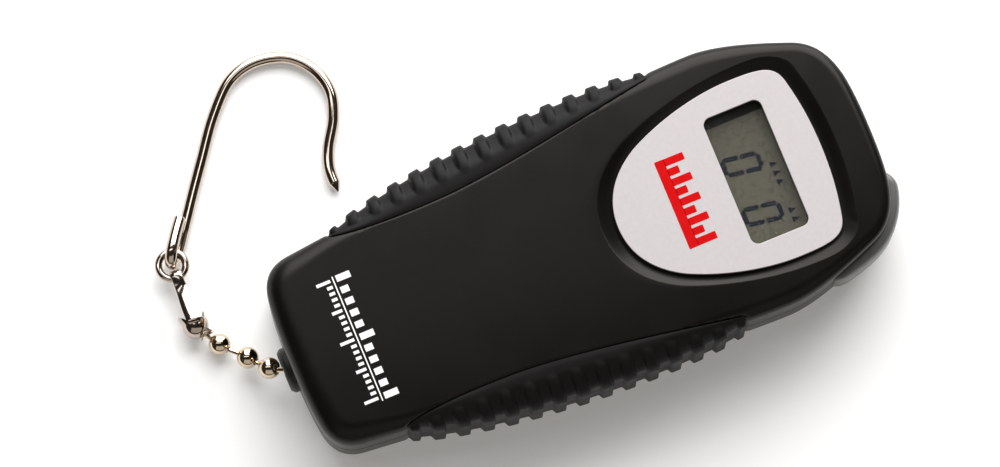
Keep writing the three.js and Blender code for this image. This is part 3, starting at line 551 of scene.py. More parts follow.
RING_NICKEL = surface(
    "ring_nickel", (0.50, 0.42, 0.36), (0.57, 0.49, 0.43), (0.08, 0.13),
    patch=2.0, grain=1.6, bump=0.0025, Metallic=1.0,
)
HOOK_NICKEL = surface(
    "hook_nickel", (0.52, 0.43, 0.35), (0.59, 0.50, 0.42), (0.07, 0.12),
    patch=3.0, grain=1.6, bump=0.0025, Metallic=1.0,
)
INNER_STEEL = surface(
    "inner_steel", (0.50, 0.50, 0.51), (0.60, 0.60, 0.61), (0.25, 0.38),
    patch=3.0, grain=0.3, bump=0.01, Metallic=1.0,
)
CELL_ALUMINIUM = surface(
    "cell_aluminium", (0.66, 0.67, 0.68), (0.74, 0.75, 0.76), (0.3, 0.42),
    patch=4.0, grain=0.35, bump=0.01, stretch=(1, 0.15, 1), Metallic=1.0,
)
CLEAR_PANE = surface(
    "clear_pane", (0.05, 0.052, 0.052), (0.06, 0.062, 0.062), (0.03, 0.06),
    patch=6, grain=0.5, bump=0.0, Alpha=0.05, Specular_IOR_Level=0.5,
)
INNER_FINISHES = {
    "holder_white": ((0.72, 0.71, 0.68), (0.78, 0.77, 0.74), (0.45, 0.55), {"bump": 0.01}),
    "zebra_rubber": ((0.03, 0.03, 0.03), (0.12, 0.11, 0.1), (0.6, 0.7), {"patch": 0.5}),
    "board_green": ((0.015, 0.09, 0.035), (0.02, 0.12, 0.05), (0.3, 0.42), {"patch": 3, "grain": 0.5}),
    "component_black": ((0.012, 0.012, 0.012), (0.025, 0.025, 0.025), (0.3, 0.45), {"patch": 2}),
    "gauge_foil": ((0.55, 0.36, 0.10), (0.68, 0.46, 0.16), (0.3, 0.45), {"patch": 1, "grain": 0.3}),
    "battery_wrap": ((0.03, 0.035, 0.045), (0.06, 0.065, 0.075), (0.2, 0.3), {"patch": 12, "grain": 1}),
    "lead_red": ((0.4, 0.01, 0.01), (0.5, 0.02, 0.02), (0.4, 0.5), {"patch": 2}),
    "lead_black": ((0.01, 0.01, 0.01), (0.02, 0.02, 0.02), (0.4, 0.5), {"patch": 2}),
    "lead_white": ((0.6, 0.6, 0.6), (0.7, 0.7, 0.7), (0.4, 0.5), {"patch": 2}),
}
INNER_LOOKS = {name: surface(name, *look, **sizes) for name, (*look, sizes) in INNER_FINISHES.items()}
INNER_LOOKS |= {"inner_steel": INNER_STEEL, "cell_aluminium": CELL_ALUMINIUM}
INNER_LOOKS |= {"clear_pane": CLEAR_PANE, "case_black": CASE_BLACK}


# ---------- camera, light and floor ----------

IMAGE_RIGHT = np.array([0.381, 0.925, 0.0])
IMAGE_UP = np.array([-0.925, 0.381, 0.0])
TILT = math.radians(7.33)
AIM = np.array([-10.31, -14.84, 14.0])
VIEW_WIDTH = 222.2
LENS = 300.0
SENSOR = 36.0
ROOM_LEVEL = (0.035, 0.031, 0.028)
FLOOR_GLOW = 0.18


def turn_to(thing, right, up, back):
    """Turns a camera or light so that its own axes lie along three directions."""
    thing.rotation_mode = "QUATERNION"
    thing.rotation_quaternion = Matrix(np.column_stack([right, up, back]).tolist()).to_quaternion()


def add_camera():
    """A long lens that looks nearly straight down on the face."""
    back = -IMAGE_UP * math.sin(TILT) + np.array([0, 0, math.cos(TILT)])
    data = bpy.data.cameras.new("camera")
    data.lens = LENS
    data.sensor_width = SENSOR
    data.sensor_fit = "HORIZONTAL"
    data.clip_start = 0.05
    data.clip_end = 50
    camera = placed("camera", data)
    distance = VIEW_WIDTH * LENS / SENSOR
    camera.location = [float(v) * MM for v in AIM + back * distance]
    up = IMAGE_UP * math.cos(TILT) + np.array([0, 0, math.sin(TILT)])
    turn_to(camera, np.cross(up, back), up, back)
    bpy.context.scene.camera = camera


def add_softbox(name, direction, distance, size, power, colour=(1, 1, 1)):
    """A rectangular area light that looks at the middle of the object, with its width across
    the picture. Distances are in metres."""
    data = bpy.data.lights.new(name, "AREA")
    data.shape = "RECTANGLE"
    data.size, data.size_y = size
    data.energy = power
    data.color = colour
    light = placed(name, data)
    back = unit(direction)
    right = unit(IMAGE_RIGHT - back * np.dot(IMAGE_RIGHT, back))
    light.location = [float(v) for v in back * distance]
    turn_to(light, right, np.cross(back, right), back)


def add_world():
    """A dim studio: dark in reflections, and pale where it is seen itself."""
    world = bpy.data.worlds.new("studio")
    bpy.context.scene.world = world
    world.use_nodes = True
    nodes, links = world.node_tree.nodes, world.node_tree.links
    nodes.clear()
    room = nodes.new("ShaderNodeBackground")
    room.inputs["Color"].default_value = (*ROOM_LEVEL, 1)
    seen = nodes.new("ShaderNodeBackground")
    seen.inputs["Color"].default_value = (0.95, 0.95, 0.95, 1)
    path = nodes.new("ShaderNodeLightPath")
    mix = nodes.new("ShaderNodeMixShader")
    output = nodes.new("ShaderNodeOutputWorld")
    links.new(path.outputs["Is Camera Ray"], mix.inputs["Fac"])
    links.new(room.outputs["Background"], mix.inputs[1])
    links.new(seen.outputs["Background"], mix.inputs[2])
    links.new(mix.outputs["Shader"], output.inputs["Surface"])


def add_floor():
    """A plain pale floor just under the object."""
    floor_white = surface(
        "floor_white",
        (0.83, 0.83, 0.83),
        (0.85, 0.85, 0.85),
        (0.75, 0.85),
        patch=400,
        grain=30,
        bump=0.0,
        Specular_IOR_Level=0.1,
    )
    shader = floor_white.node_tree.nodes["Principled BSDF"]
    shader.inputs["Emission Color"].default_value = (1, 0.99, 0.97, 1)
    shader.inputs["Emission Strength"].default_value = FLOOR_GLOW
    reach, steps, below = 4000, 8, 0.12
    line = np.linspace(-reach, reach, steps + 1)
    points = [(x, y, -below) for y in line for x in line]
    faces = ring_faces(steps + 1, steps + 1, closed_columns=False)
    floor = make_piece("floor", points, faces, floor_white, None)


add_camera()
add_world()
add_floor()
KEY_DIRECTION = IMAGE_UP * 0.81 + IMAGE_RIGHT * 0.06 + np.array([0, 0, 0.58])
STRIP_DIRECTION = IMAGE_UP * 0.115 - IMAGE_RIGHT * 0.28 + np.array([0, 0, 1.0])
FILL_DIRECTION = -IMAGE_UP * 0.8 + IMAGE_RIGHT * 0.05 + np.array([0, 0, 0.6])
add_softbox("key", KEY_DIRECTION, 0.85, (1.2, 1.0), 23)
add_softbox("strip", STRIP_DIRECTION, 1.05, (0.95, 0.11), 0.9)
add_softbox("fill", FILL_DIRECTION, 0.9, (1.5, 0.8), 2.2, (1.0, 0.94, 0.88))
bpy.context.scene.view_settings.view_transform = "Standard"
bpy.context.scene.view_settings.look = "None"


# ---------- case ----------


def grip_line(curves):
    line = bezier_line(GRIP_START, curves)
    return line[:, 1], line[:, 0]


OUTER_Y, OUTER_X = grip_line(GRIP_OUTER)
INNER_Y, INNER_X = grip_line(GRIP_INNER)
CASE_RIGHT = bezier_line(CASE_START, CASE_CURVES)
SIDE_Y, SIDE_X = CASE_RIGHT[:, 1], CASE_RIGHT[:, 0]


def face_drop(x, y):
    """How far the domed face has fallen below its top."""
    return CROWN_SIDE * (x / HALF_WIDTH) ** 2 + CROWN_END * (y / HALF_LENGTH) ** 2


def face_z(x, y):
    return THICKNESS - face_drop(x, y)


def pad_run(y):
    """1 along a grip pad, easing to 0 past its ends."""
    low, high = GRIP_Y
    before, past = 0.6, 1.6
    return smooth(low - before, low + past, y) * smooth(-high - before, past - high, -y)


def pocketed(points, directions):
    """Sinks the skin where a grip pad lies on it, with a soft step along the pad's edge."""
    x = np.abs(points[..., 0])
    y = points[..., 1]
    edge = np.interp(y, INNER_Y, INNER_X)
    inside = smooth(-0.55, 0.45, x - edge)
    return points - directions * (POCKET_DEPTH * inside * pad_run(y))[..., None]


def roll_at(y):
    """How far in from the outline the rolled upper edge reaches."""
    hookward = smooth(48, 66, -np.asarray(y))
    endward = smooth(40, 60, y)
    return ROLL_SIDE + (ROLL_HOOK_END - ROLL_SIDE) * hookward - (ROLL_SIDE - ROLL_END) * endward


def ring_at(xy, z):
    return np.column_stack([xy, np.broadcast_to(z, len(xy))])


def wall_rings(outline, normal, roll, height, sign):
    """Rings up a side wall from the parting line and over the rolled edge, with the direction
    that the skin faces at each."""
    flat = np.column_stack([normal, np.zeros(len(outline))])
    edge = [(0.5, 0.0), (0.22, 0.04), (0.06, 0.14), (0.0, 0.34), (0.0, 1.2), (0.0, 3.0), (0.0, 5.2)]
    rings, faces_to = [], []
    for inset, rise in edge:
        z = PARTING_Z + sign * (PARTING_GAP + rise)
        rings.append(ring_at(outline - normal * inset, z))
        faces_to.append(flat)
    top = THICKNESS if sign > 0 else 0.0
    steps = 16
    for i in range(steps + 1):
        angle = math.pi / 2 * i / steps
        inset = roll * (1 - math.cos(angle) ** ROLL_POWER)
        z = top - sign * height * (1 - math.sin(angle) ** ROLL_POWER)
        rings.append(ring_at(outline - normal * inset[:, None], z))
        tilted = flat * math.cos(angle) + np.array([0, 0, sign * math.sin(angle)])
        faces_to.append(tilted)
    return rings, faces_to


def front_skin():
    """The upper half: wall, rolled edge, domed face, sloped recess, and the window's well."""
    outline = closed_outline(CASE_START, CASE_CURVES, AROUND)
    normal = outward(outline)
    roll = roll_at(outline[:, 1])
    rings, faces_to = wall_rings(outline, normal, roll, ROLL_HEIGHT * roll, 1)

    angles = np.arctan2(outline[:, 1] - RAY_CENTRE[1], outline[:, 0] - RAY_CENTRE[0])
    plate = closed_outline(PLATE_START, PLATE_CURVES, AROUND)
    hit = on_rays(plate, angles)
    ray = hit - RAY_CENTRE
    ray /= np.linalg.norm(ray, axis=1)[:, None]
    slant = np.maximum(0.8, (outward(hit) * ray).sum(axis=1))[:, None]
    endward = np.abs((hit[:, 1] - RECESS_MIDDLE_Y) / RECESS_HALF_Y) ** 2
    flare = (RECESS_FLARE + RECESS_END_FLARE * endward)[:, None]
    face_edge = rings[-1][:, :2]
    room = np.linalg.norm(on_rays(face_edge, angles) - hit, axis=1)[:, None] - 0.7
    wanted = flare / slant
    recess_edge = hit + ray * np.where(wanted < room, wanted, room)
    steps = 44
    up = np.broadcast_to(np.array([0, 0, 1.0]), rings[-1].shape)
    for i in range(1, steps + 1):
        share = (i / steps) ** 2.1
        rings.append(ring_at(face_edge + (recess_edge - face_edge) * share, THICKNESS))
        faces_to.append(up)
    rings = np.array(rings)
    risen = np.clip((rings[..., 2] - PARTING_Z) / (THICKNESS - PARTING_Z), 0, 1)
    rings[..., 2] -= risen * face_drop(rings[..., 0], rings[..., 1])
    rings = list(pocketed(rings, np.array(faces_to)))

    rim = rings[-1]
    foot = hit + ray * 0.3 / slant
    fall = rim[:, 2] - RECESS_Z
    for along, down in [(0.03, 0.012), (0.08, 0.05), (0.3, 0.28), (0.6, 0.6), (0.9, 0.92), (1, 1)]:
        xy = rim[:, :2] + (foot - rim[:, :2]) * along
        rings.append(ring_at(xy, rim[:, 2] - fall * down))
    rings.append(ring_at(hit - ray * 2, RECESS_Z))
    opening = on_rays(rounded_rect(OPENING_HALF_X, OPENING_Y, 1.0), angles)
    for z in (RECESS_Z, RECESS_Z - 0.1, ROOF_Z, ROOF_Z - 0.1):
        rings.append(ring_at(opening, z))
    return lofted(rings)


def rear_skin():
    """The lower half: flat back, rolled edge and wall."""
    outline = closed_outline(CASE_START, CASE_CURVES, AROUND)
    normal = outward(outline)
    roll = np.full(AROUND, ROLL_BACK)
    rings, faces_to = wall_rings(outline, normal, roll, ROLL_BACK, -1)
    rings = list(pocketed(np.array(rings), np.array(faces_to)))
    edge = rings[-1]
    for share in (0.04, 0.1, 0.2, 0.4, 0.7, 0.98):
        ring = edge.copy()
        ring[:, :2] = edge[:, :2] * (1 - share)
        rings.append(ring)
    return lofted(rings[::-1], cap_first=True)


def button_body(grow=0.0, reach=0.0):
    """The power button: a round-edged strip bent round one corner of the case. Reach pushes
    its inner side further in."""
    shares = 0.5 - 0.5 * np.cos(np.linspace(0, math.pi, 61))
    inner = even_points(bezier_line(BUTTON_INNER_START, BUTTON_INNER), shares)
    outer = even_points(bezier_line(BUTTON_OUTER_START, BUTTON_OUTER), shares)
    middle_z = sum(BUTTON_Z) / 2
    half_z = (BUTTON_Z[1] - BUTTON_Z[0]) / 2 + grow
    press = np.array([-1, -1]) / math.sqrt(2)
    sides = 40
    angles = 2 * np.pi * np.arange(sides) / sides
    cos, sin = np.cos(angles), np.sin(angles)
    flat = np.sign(cos) * np.abs(cos) ** 0.55
    tall = np.sign(sin) * np.abs(sin) ** 0.42
    rings = []
    length = np.linalg.norm(np.diff(outer, axis=0), axis=1).sum()
    for share, a, b in zip(shares, inner, outer):
        from_end = min(share, 1 - share) * length
        close = math.sqrt(max(0.0, 1 - (1 - min(1, from_end / BUTTON_END)) ** 2))
        inside = a + press * (BUTTON_SINK + reach)
        centre = (inside + b) / 2
        half = np.linalg.norm(b - inside) / 2 * max(0.3, close) + grow
        z_half = half_z * (0.8 + 0.2 * close)
        along = np.outer(flat * half, unit(b - inside))
        ring = np.column_stack([centre + along, middle_z + z_half * tall])
        rings.append(ring)
    direction = outer[1] - outer[0]
    if np.cross(np.append(direction, 0), [0, 0, 1])[0] < 0:
        rings = rings[::-1]
    return lofted(rings, cap_first=True, cap_last=True)


def oriented(points, faces):
    """The same body with its faces turned outwards."""
    mesh = bmesh.new()
    verts = [mesh.verts.new(tuple(map(float, p))) for p in points]
    for face in faces:
        mesh.faces.new([verts[i] for i in face])
    bmesh.ops.recalc_face_normals(mesh, faces=mesh.faces)
    mesh.verts.index_update()
    turned_faces = [tuple(v.index for v in f.verts) for f in mesh.faces]
    mesh.free()
    return points, turned_faces


def button_tool():
    return make_piece("tool", *oriented(*button_body(BUTTON_GROW, 1.0)), CASE_BLACK, None)


def bush_tool():
    start = (0, BUSH_FACE_Y - 1, PULL_Z)
    return tool_rod(5.3, start, (0, -64, PULL_Z))


def build_front_shell():
    shell = make_piece("case_front", *front_skin(), CASE_BLACK, None)
    thickened(shell, SKIN)
    carved(shell, button_tool(), bush_tool())
    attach(shell, "housing")
    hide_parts("front_shell")
    return shell


def build_rear_shell():
    shell = make_piece("case_rear", *rear_skin(), CASE_BLACK, None)
    thickened(shell, SKIN)
    carved(shell, tool_box(*BAY_OUTSIDE), operation="UNION")
    tools = [button_tool(), bush_tool()]
    tools += [tool_box(*box) for box in (BAY_INSIDE, DOOR_SEAT, DOOR_GROOVE)]
    tools += [tool_rod(SCREW_HOLE, (*at, -1), (*at, 5)) for at in CASE_SCREWS]
    carved(shell, *tools)
    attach(shell, "housing")
    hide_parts("rear_shell")
    return shell


build_front_shell()
build_rear_shell()


# ---------- grips ----------


def rib_height(y, across):
    """How proud the pad stands at a station: its ribs, and a small nub at each end. Across runs
    from 0 at the pad's edge on the face to 1 at its outside."""
    proud = np.zeros_like(across)
    marks = [(RIB_FIRST_Y + i * RIB_PITCH, RIB_WIDTH, RIB_PROUD) for i in range(RIB_COUNT)]
    for nub_y in (GRIP_Y[0] + NUB_INSET, GRIP_Y[1] - NUB_INSET):
        marks.append((nub_y, NUB_WIDTH, NUB_PROUD))
    for centre, width, height in marks:
        off = abs(y - centre)
        flank = 1 - smooth(width / 2 - RIB_FLANK, width / 2 + RIB_FLANK, off)
        toe = 0.3 + 0.12 * min(1.0, off / (width / 2)) ** 2
        proud = np.maximum(proud, height * flank * smooth(toe, toe + 0.55, across) ** 0.8)
    return proud


def grip_stations():
    """Places along a pad, closer together at the flanks of its ribs."""
    flank = [0.4, 0.9, 1.15, 1.3, 1.45, 1.6, 1.75, 1.95]
    offsets = [-d for d in flank] + flank + [2.4, 2.72]
    stations = [RIB_FIRST_Y + i * RIB_PITCH + d for i in range(RIB_COUNT) for d in offsets]
    for end, way in ((GRIP_Y[0], 1), (GRIP_Y[1], -1)):
        stations += [end + way * d for d in np.linspace(0, 5, 24)]
    inside = [y for y in stations if GRIP_Y[0] <= y <= GRIP_Y[1]]
    return np.unique(np.round(inside, 3))


def edge_fall(inset, roll, height):
    """How far a rolled edge has fallen, and the angle it faces, at distances in from a wall."""
    cosine = np.clip(1 - inset / roll, 0, 1) ** (1 / ROLL_POWER)
    angle = np.arccos(cosine)
    return height * (1 - np.sin(angle) ** ROLL_POWER), angle


def case_section(y, inner, half):
    """The case's own side at a station, from a line on the face over the wall to the back, as
    x, z and the directions it faces."""
    steps = 24
    inset = (half - inner) * (1 - np.arange(steps + 1) / steps) ** 2
    roll = float(roll_at(y))
    fall, angle = edge_fall(inset, roll, ROLL_HEIGHT * roll)
    rise, back_angle = edge_fall(inset, ROLL_BACK, ROLL_BACK)
    x = half - inset
    top = face_z(x, y) - fall
    wall = np.linspace(top[-1], rise[-1], 8)[1:-1]
    xs = np.concatenate([x, np.full(len(wall), half), x[::-1]])
    zs = np.concatenate([top, wall, rise[::-1]])
    level = np.tile([1.0, 0.0], (len(wall), 1))
    up = np.column_stack([np.cos(angle), np.sin(angle)])
    down = np.column_stack([np.cos(back_angle), -np.sin(back_angle)])
    return xs, zs, np.concatenate([up, level, down[::-1]])


def grip_section(y):
    """A closed line round the pad at a station. Its outside is the case's side, drawn out to
    the pad's own width, and its inside lies in the case's pocket."""
    outer = float(np.interp(y, OUTER_Y, OUTER_X))
    half = float(np.interp(y, SIDE_Y, SIDE_X))
    inner = min(float(np.interp(y, INNER_Y, INNER_X)), min(outer, half) - 0.3)
    xs, zs, facing = case_section(y, inner, half)
    share = (xs - inner) / (half - inner)
    puffed = max(0.0, outer - half) / 3.2
    middle = (THICKNESS - CROWN_SIDE) / 2
    out_x = inner + share * (outer - inner)
    slump = 1.3 * puffed * smooth(0.35, 1.0, share)
    out_z = zs - np.sign(zs - middle) * slump * np.abs(zs - middle) / middle
    line = np.column_stack([out_x, out_z])
    along = np.gradient(line, axis=0)
    normal = np.column_stack([-along[:, 1], along[:, 0]])
    normal /= np.linalg.norm(normal, axis=1)[:, None]
    edge_dip = 0.14 * (1 - smooth(0, 0.12, share))
    proud = rib_height(y, share) - edge_dip
    line = line + normal * proud[:, None]
    line[:, 1] = np.maximum(line[:, 1], 0.12)
    inside = smooth(-0.55, 0.45, xs - inner)
    depth = (POCKET_DEPTH - PAD_GAP) * inside * max(0.35, float(pad_run(y)))
    bed = np.column_stack([xs, zs]) - facing * depth[:, None]
    loop = np.vstack([line, bed[::-3]])
    return np.column_stack([loop[:, 0], np.full(len(loop), y), loop[:, 1]])


def build_grip(side, node):
    rings = np.array([grip_section(y) for y in grip_stations()])
    rings[..., 0] *= side
    shape = oriented(*lofted(rings, cap_first=True, cap_last=True))
    name = "pad_right" if side > 0 else "pad_left"
    pad = make_piece(name, *shape, GRIP_RUBBER, "housing", sharp=60)
    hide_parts(node)


build_grip(1, "grip_right")
build_grip(-1, "grip_left")


# ---------- display ----------


def build_plate():
    outline = closed_outline(PLATE_START, PLATE_CURVES, 280)
    window = rounded_rect(WINDOW_HALF_X, WINDOW_Y, WINDOW_CORNER)
    plate = flat_piece(
        "face_plate", [outline, window[::-1]], PLATE_Z, PLATE_SILVER, "housing", bevel=0.14
    )
    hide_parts("display_plate")


def segment(start, end, half_width):
    """One bar of a digit, with pointed ends."""
    start, end = np.array(start, float), np.array(end, float)
    along = unit(end - start)
    across = np.array([-along[1], along[0]])
    inset = along * half_width * 0.6
    side = across * half_width
    near, far = start + inset, end - inset
    return np.array([start, near - side, far - side, end, far + side, near + side])


def zero_bars(low, high):
    """The six lit bars of a seven-part nought. Low and high are its corners, and its top is
    towards +Y."""
    x0, y0 = low
    x1, y1 = high
    middle = (y0 + y1) / 2
    gap = 0.12
    lean = 0.15
    thin = 0.55

    def at(x, y):
        return (x + lean * (y - y0), y)

    bars = [segment(at(x0 + gap, y), at(x1 - gap, y), thin) for y in (y0, y1)]
    for x in (x0, x1):
        bars.append(segment(at(x, y0 + gap), at(x, middle - gap), thin))
        bars.append(segment(at(x, middle + gap), at(x, y1 - gap), thin))
    return bars


def build_lcd():
    glass = flat_piece(
        "lcd_cell",
        [rounded_rect(17.3, (33.2, 51.6), 0.3)],
        (ROOF_Z - 2.7, LCD_TOP),
        LCD_GLASS,
        "housing",
        bevel=0.1,
    )
    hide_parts("lcd_panel")
    bars = zero_bars((-5.4, 36.1), (-1.9, 44.0)) + zero_bars((6.5, 36.1), (10.0, 44.0))
    for i, bar in enumerate(bars):
        piece = flat_piece(
            f"digit_bar_{i + 1:02d}", [bar], (LCD_TOP + 0.01, LCD_TOP + 0.05), SEGMENT_INK, "housing"
        )
    # A near-black band laid over the -X end of the window is painted shadow. It stands in for the
    # shadow that the window's edge casts on the display.
    painted_shadow_band = rounded_rect(2.0, (WINDOW_Y[0] - 1.5, WINDOW_Y[1] + 1.5), 0.2) - (WINDOW_HALF_X, 0)
    shade = flat_piece("lcd_painted_shadow_band", [painted_shadow_band], (LCD_TOP + 0.01, LCD_TOP + 0.06), LCD_PAINTED_SHADOW, "housing")
    for k, x in enumerate((-0.6, 1.5, 3.6, 10.4, 12.6)):
        mark = np.array([(x - 0.75, 45.7), (x + 0.75, 45.7), (x, 47.4)])
        piece = flat_piece(
            f"unit_mark_{k + 1}", [mark], (LCD_TOP + 0.01, LCD_TOP + 0.04), SEGMENT_INK, "housing"
        )


def build_red_scale():
    """A plain graduated bar on the plate."""
    z = (PLATE_Z[1] - 0.01, PLATE_Z[1] + 0.03)
    strip = rounded_rect(10.4, (21.9, 24.1), 0.2)
    piece = flat_piece("red_scale_strip", [strip], z, RED_PRINT, "housing")
    count = 9
    for i in range(count):
        x = -9.5 + i * 19.0 / (count - 1)
        top = 28.6 if i % 2 == 0 else 26.6
        tick = rounded_rect(0.85, (24.0, top), 0.2) + (x, 0)
        piece = flat_piece(f"red_scale_tick_{i + 1}", [tick], z, RED_PRINT, "housing")


def on_face(name, x_range, y_range):
    """A printed white bar that lies on the domed face."""
    xs = np.linspace(*x_range, 5)
    ys = np.linspace(*y_range, 5)
    lift = 0.025
    sink = 0.05
    points = []
    for height in (-sink, lift):
        points += [(x, y, face_z(x, y) + height) for y in ys for x in xs]
    n = 5
    top = ring_faces(n, n, closed_columns=False, first=n * n)
    bottom = [face[::-1] for face in ring_faces(n, n, closed_columns=False)]
    rim = [i for i in range(n)] + [i * n + n - 1 for i in range(1, n)]
    rim += [n * n - 1 - i for i in range(1, n)] + [(n - 1 - i) * n for i in range(1, n - 1)]
    sides = []
    for k, a in enumerate(rim):
        b = rim[(k + 1) % len(rim)]
        sides.append((a, b, b + n * n, a + n * n))
    piece = make_piece(name, points, top + bottom + sides, WHITE_PRINT, "housing", sharp=30)


def build_white_scales():
    """Two plain rows of graduations with a thin line between them."""
    line_y = -53.5
    on_face("scale_line", (-14.0, 15.7), (line_y - 0.14, line_y + 0.14))
    coarse = 11
    for i in range(coarse):
        x = -13.2 + i * 28.0 / (coarse - 1)
        top = line_y + (4.0 if i % 5 == 0 else 2.6)
        on_face(f"scale_coarse_{i + 1:02d}", (x - 0.75, x + 0.75), (line_y + 0.7, top))
    fine = 21
    for i in range(fine):
        x = -13.2 + i * 28.0 / (fine - 1)
        low = line_y - (4.0 if i % 10 == 0 else 3.1 if i % 5 == 0 else 2.0)
        on_face(f"scale_fine_{i + 1:02d}", (x - 0.36, x + 0.36), (low, line_y - 0.7))


build_plate()
build_lcd()
build_red_scale()
build_white_scales()


# ---------- power button and exit bush ----------


def build_button():
    shape = oriented(*button_body())
    button = make_piece("button_strip", *shape, BUTTON_RUBBER, "power_button", sharp=70)
    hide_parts("power_button")


def build_bush():
    """The moulded bush that the chain comes out of."""
    face = BUSH_FACE_Y
    bore, rim, neck, flange = 3.3, 4.3, 5.2, 6.6
    profile = [(bore + 0.15, face + 0.05), (3.6, face), (rim, face), (rim + 0.2, face + 0.08)]
    profile += [(5.1, face + 0.75), (neck, face + 1.0), (neck, -66.4), (6.5, -66.4)]
    profile += [(flange, -66.2), (flange, -65.4), (3.8, -65.4)]
    profile += [(bore, face + 1.6), (bore, face + 0.25)]
    shape = turned_closed(profile, (0, 0, PULL_Z), (0, 1, 0), 72)
    bush = make_piece("chain_bush", *shape, BUSH_BLACK, "housing", sharp=50)
    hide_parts("exit_bush")


build_button()
build_bush()


# ---------- chain ----------


def chain_axes():
    """Each ball's bore lies between the directions of its neighbours, and each end ball's is
    its neighbour's turned about the link that joins them."""
    centres = np.array([END_BALL, *CHAIN_BALLS, CLIP_BALL], float)
    lines = [unit(b - a) for a, b in zip(centres, centres[1:])]
    axes = [None] + [unit(a + b) for a, b in zip(lines, lines[1:])] + [None]
    axes[0] = 2 * np.dot(axes[1], lines[0]) * lines[0] - axes[1]
    axes[-1] = 2 * np.dot(axes[-2], lines[-1]) * lines[-1] - axes[-2]
    return list(zip(centres, axes))


def build_ball(name, node, body, centre, axis):
    """A rolled hollow bead with turned-in lips at its two holes."""
    steps = 22
    outer = math.asin(BALL_HOLE / BALL_R)
    inner = math.asin(BALL_HOLE / BALL_BORE)
    profile = []
    for i in range(steps + 1):
        angle = -math.pi / 2 + outer + i / steps * (math.pi - 2 * outer)
        profile.append((BALL_R * math.cos(angle), BALL_R * math.sin(angle)))
    for i in range(steps, -1, -1):
        angle = -math.pi / 2 + inner + i / steps * (math.pi - 2 * inner)
        profile.append((BALL_BORE * math.cos(angle), BALL_BORE * math.sin(angle)))
    shape = turned_closed(profile, centre, axis)
    ball = make_piece(name, *shape, CHAIN_NICKEL, body, sharp=50)
    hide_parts(node)


def build_link(name, node, body, start_ball, end_ball):
    """A wire link with a round head inside each ball."""
    start = start_ball[0] + start_ball[1] * BALL_PIVOT
    end = end_ball[0] - end_ball[1] * BALL_PIVOT
    gap = float(np.linalg.norm(end - start))
    head = 0.74
    low = -1.1
    profile = [(0.0, low - head * 0.5)]
    for i in range(1, 8):
        angle = -math.pi / 2 + i / 8 * math.pi * 0.8
        profile.append((head * math.cos(angle) * 0.98, low + head * 0.62 * math.sin(angle)))
    profile.append((LINK_R, low + 0.75))
    mirrored = [(radius, gap - height) for radius, height in profile[::-1]]
    profile = [(max(radius, 0.02), height) for radius, height in profile + mirrored]
    shape = turned(profile, start, end - start, 28)
    link = make_piece(name, *shape, CHAIN_NICKEL, body, sharp=60)
    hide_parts(node)


def build_chain():
    beads = chain_axes()
    bodies = ["housing", "chain_first", "chain_second", "chain_third", "chain_clip"]
    nodes = ["end_ball", "chain_ball_1", "chain_ball_2", "chain_ball_3", "clip_ball"]
    for i, (centre, axis) in enumerate(beads):
        build_ball(f"bead_{i + 1}", nodes[i], bodies[i], centre, axis)
    for i in range(1, len(beads)):
        build_link(f"bead_link_{i}", f"chain_link_{i}", bodies[i], beads[i - 1], beads[i])


build_chain()


# ---------- clip, ring and hook ----------


def petal(direction, reach_deg, stretch, lip, tipped=False):
    """Part of a thin round cup that hugs the clip ball. Its lip turns out all round, or only
    at its two tips."""
    direction = unit(direction)
    a, b = side_directions(direction)
    inner_r, wall = 2.6, 0.4
    steps, sides = 18, 48
    angles = 2 * np.pi * np.arange(sides) / sides
    tip = np.cos(angles) ** 2
    skins = []
    for radius in (inner_r + wall, inner_r):
        rings = []
        for i in range(steps + 1):
            share = max(i, 0.15) / steps
            tilt = math.radians(reach_deg) * share * (1 + stretch * tip)
            flare = lip * float(smooth(0.7, 1.0, share)) * (tip**2 if tipped else tip**0)
            round_it = np.outer(np.cos(angles), a) + np.outer(np.sin(angles), b)
            spots = np.cos(tilt)[:, None] * direction + np.sin(tilt)[:, None] * round_it
            rings.append(np.array(CLIP_BALL) + spots * np.reshape(radius + flare, (-1, 1)))
        skins.append(rings)
    rings = skins[0] + skins[1][::-1]
    return lofted(rings, cap_first=True, cap_last=True)


def folded_strap():
    """A strip folded round the ring's wire, whose two layers spread to hold the cups. It is
    crowned on its inner side."""
    thick = 0.5
    wire_x = RING_CENTRE[0] + RING_R - 0.25
    y, z = RING_CENTRE[1], RING_CENTRE[2]
    clearance = 0.2
    loop_r = RING_WIRE_R + clearance + thick / 2
    flat = [(1.3, 1.22), (2.2, 1.0), (3.4, 1.02), (5.4, 1.35), (7.4, 1.85)]
    tongue = [(8.9, 2.25), (9.8, 2.6), (10.6, 2.8), (11.2, 2.78), (11.8, 2.62)]
    tail = [(8.9, 1.95), (10.2, 1.5)]
    upper = [(wire_x + along, height) for along, height in flat + tongue]
    bend = []
    for i in range(11):
        angle = math.pi / 2 + i / 10 * math.pi
        bend.append((wire_x + loop_r * math.cos(angle), loop_r * math.sin(angle)))
    lower = [(wire_x + along, -height) for along, height in flat + tail]
    line = catmull(np.array(upper[::-1] + bend + lower), 8)
    tangents = np.gradient(line, axis=0)
    tangents /= np.linalg.norm(tangents, axis=1)[:, None]
    half_width, widening = 1.3, 0.4
    tip_from, tip_length = 10.2, 1.65
    crown = [(across, 1.9 - 0.7 * across**2 - 1.2 * across**6) for across in np.linspace(1, -1, 21)]
    corner = crown + [(-1, -0.5), (-0.9, -1), (0.9, -1), (1, -0.5)]
    rings = []
    for (px, pz), (tx, tz) in zip(line, tangents):
        half = half_width + widening * float(smooth(wire_x + 1.0, wire_x + 9, px))
        half *= math.sqrt(max(0.04, 1 - max(0.0, (px - wire_x - tip_from) / tip_length) ** 2))
        side = np.array([-tz, 0, tx])
        ring = []
        for across, up in corner:
            offset = np.array([0, half * across, 0]) + side * (thick / 2 * up)
            ring.append(np.array([px, y, z + pz]) + offset)
        rings.append(ring)
    return lofted(rings, cap_first=True, cap_last=True)


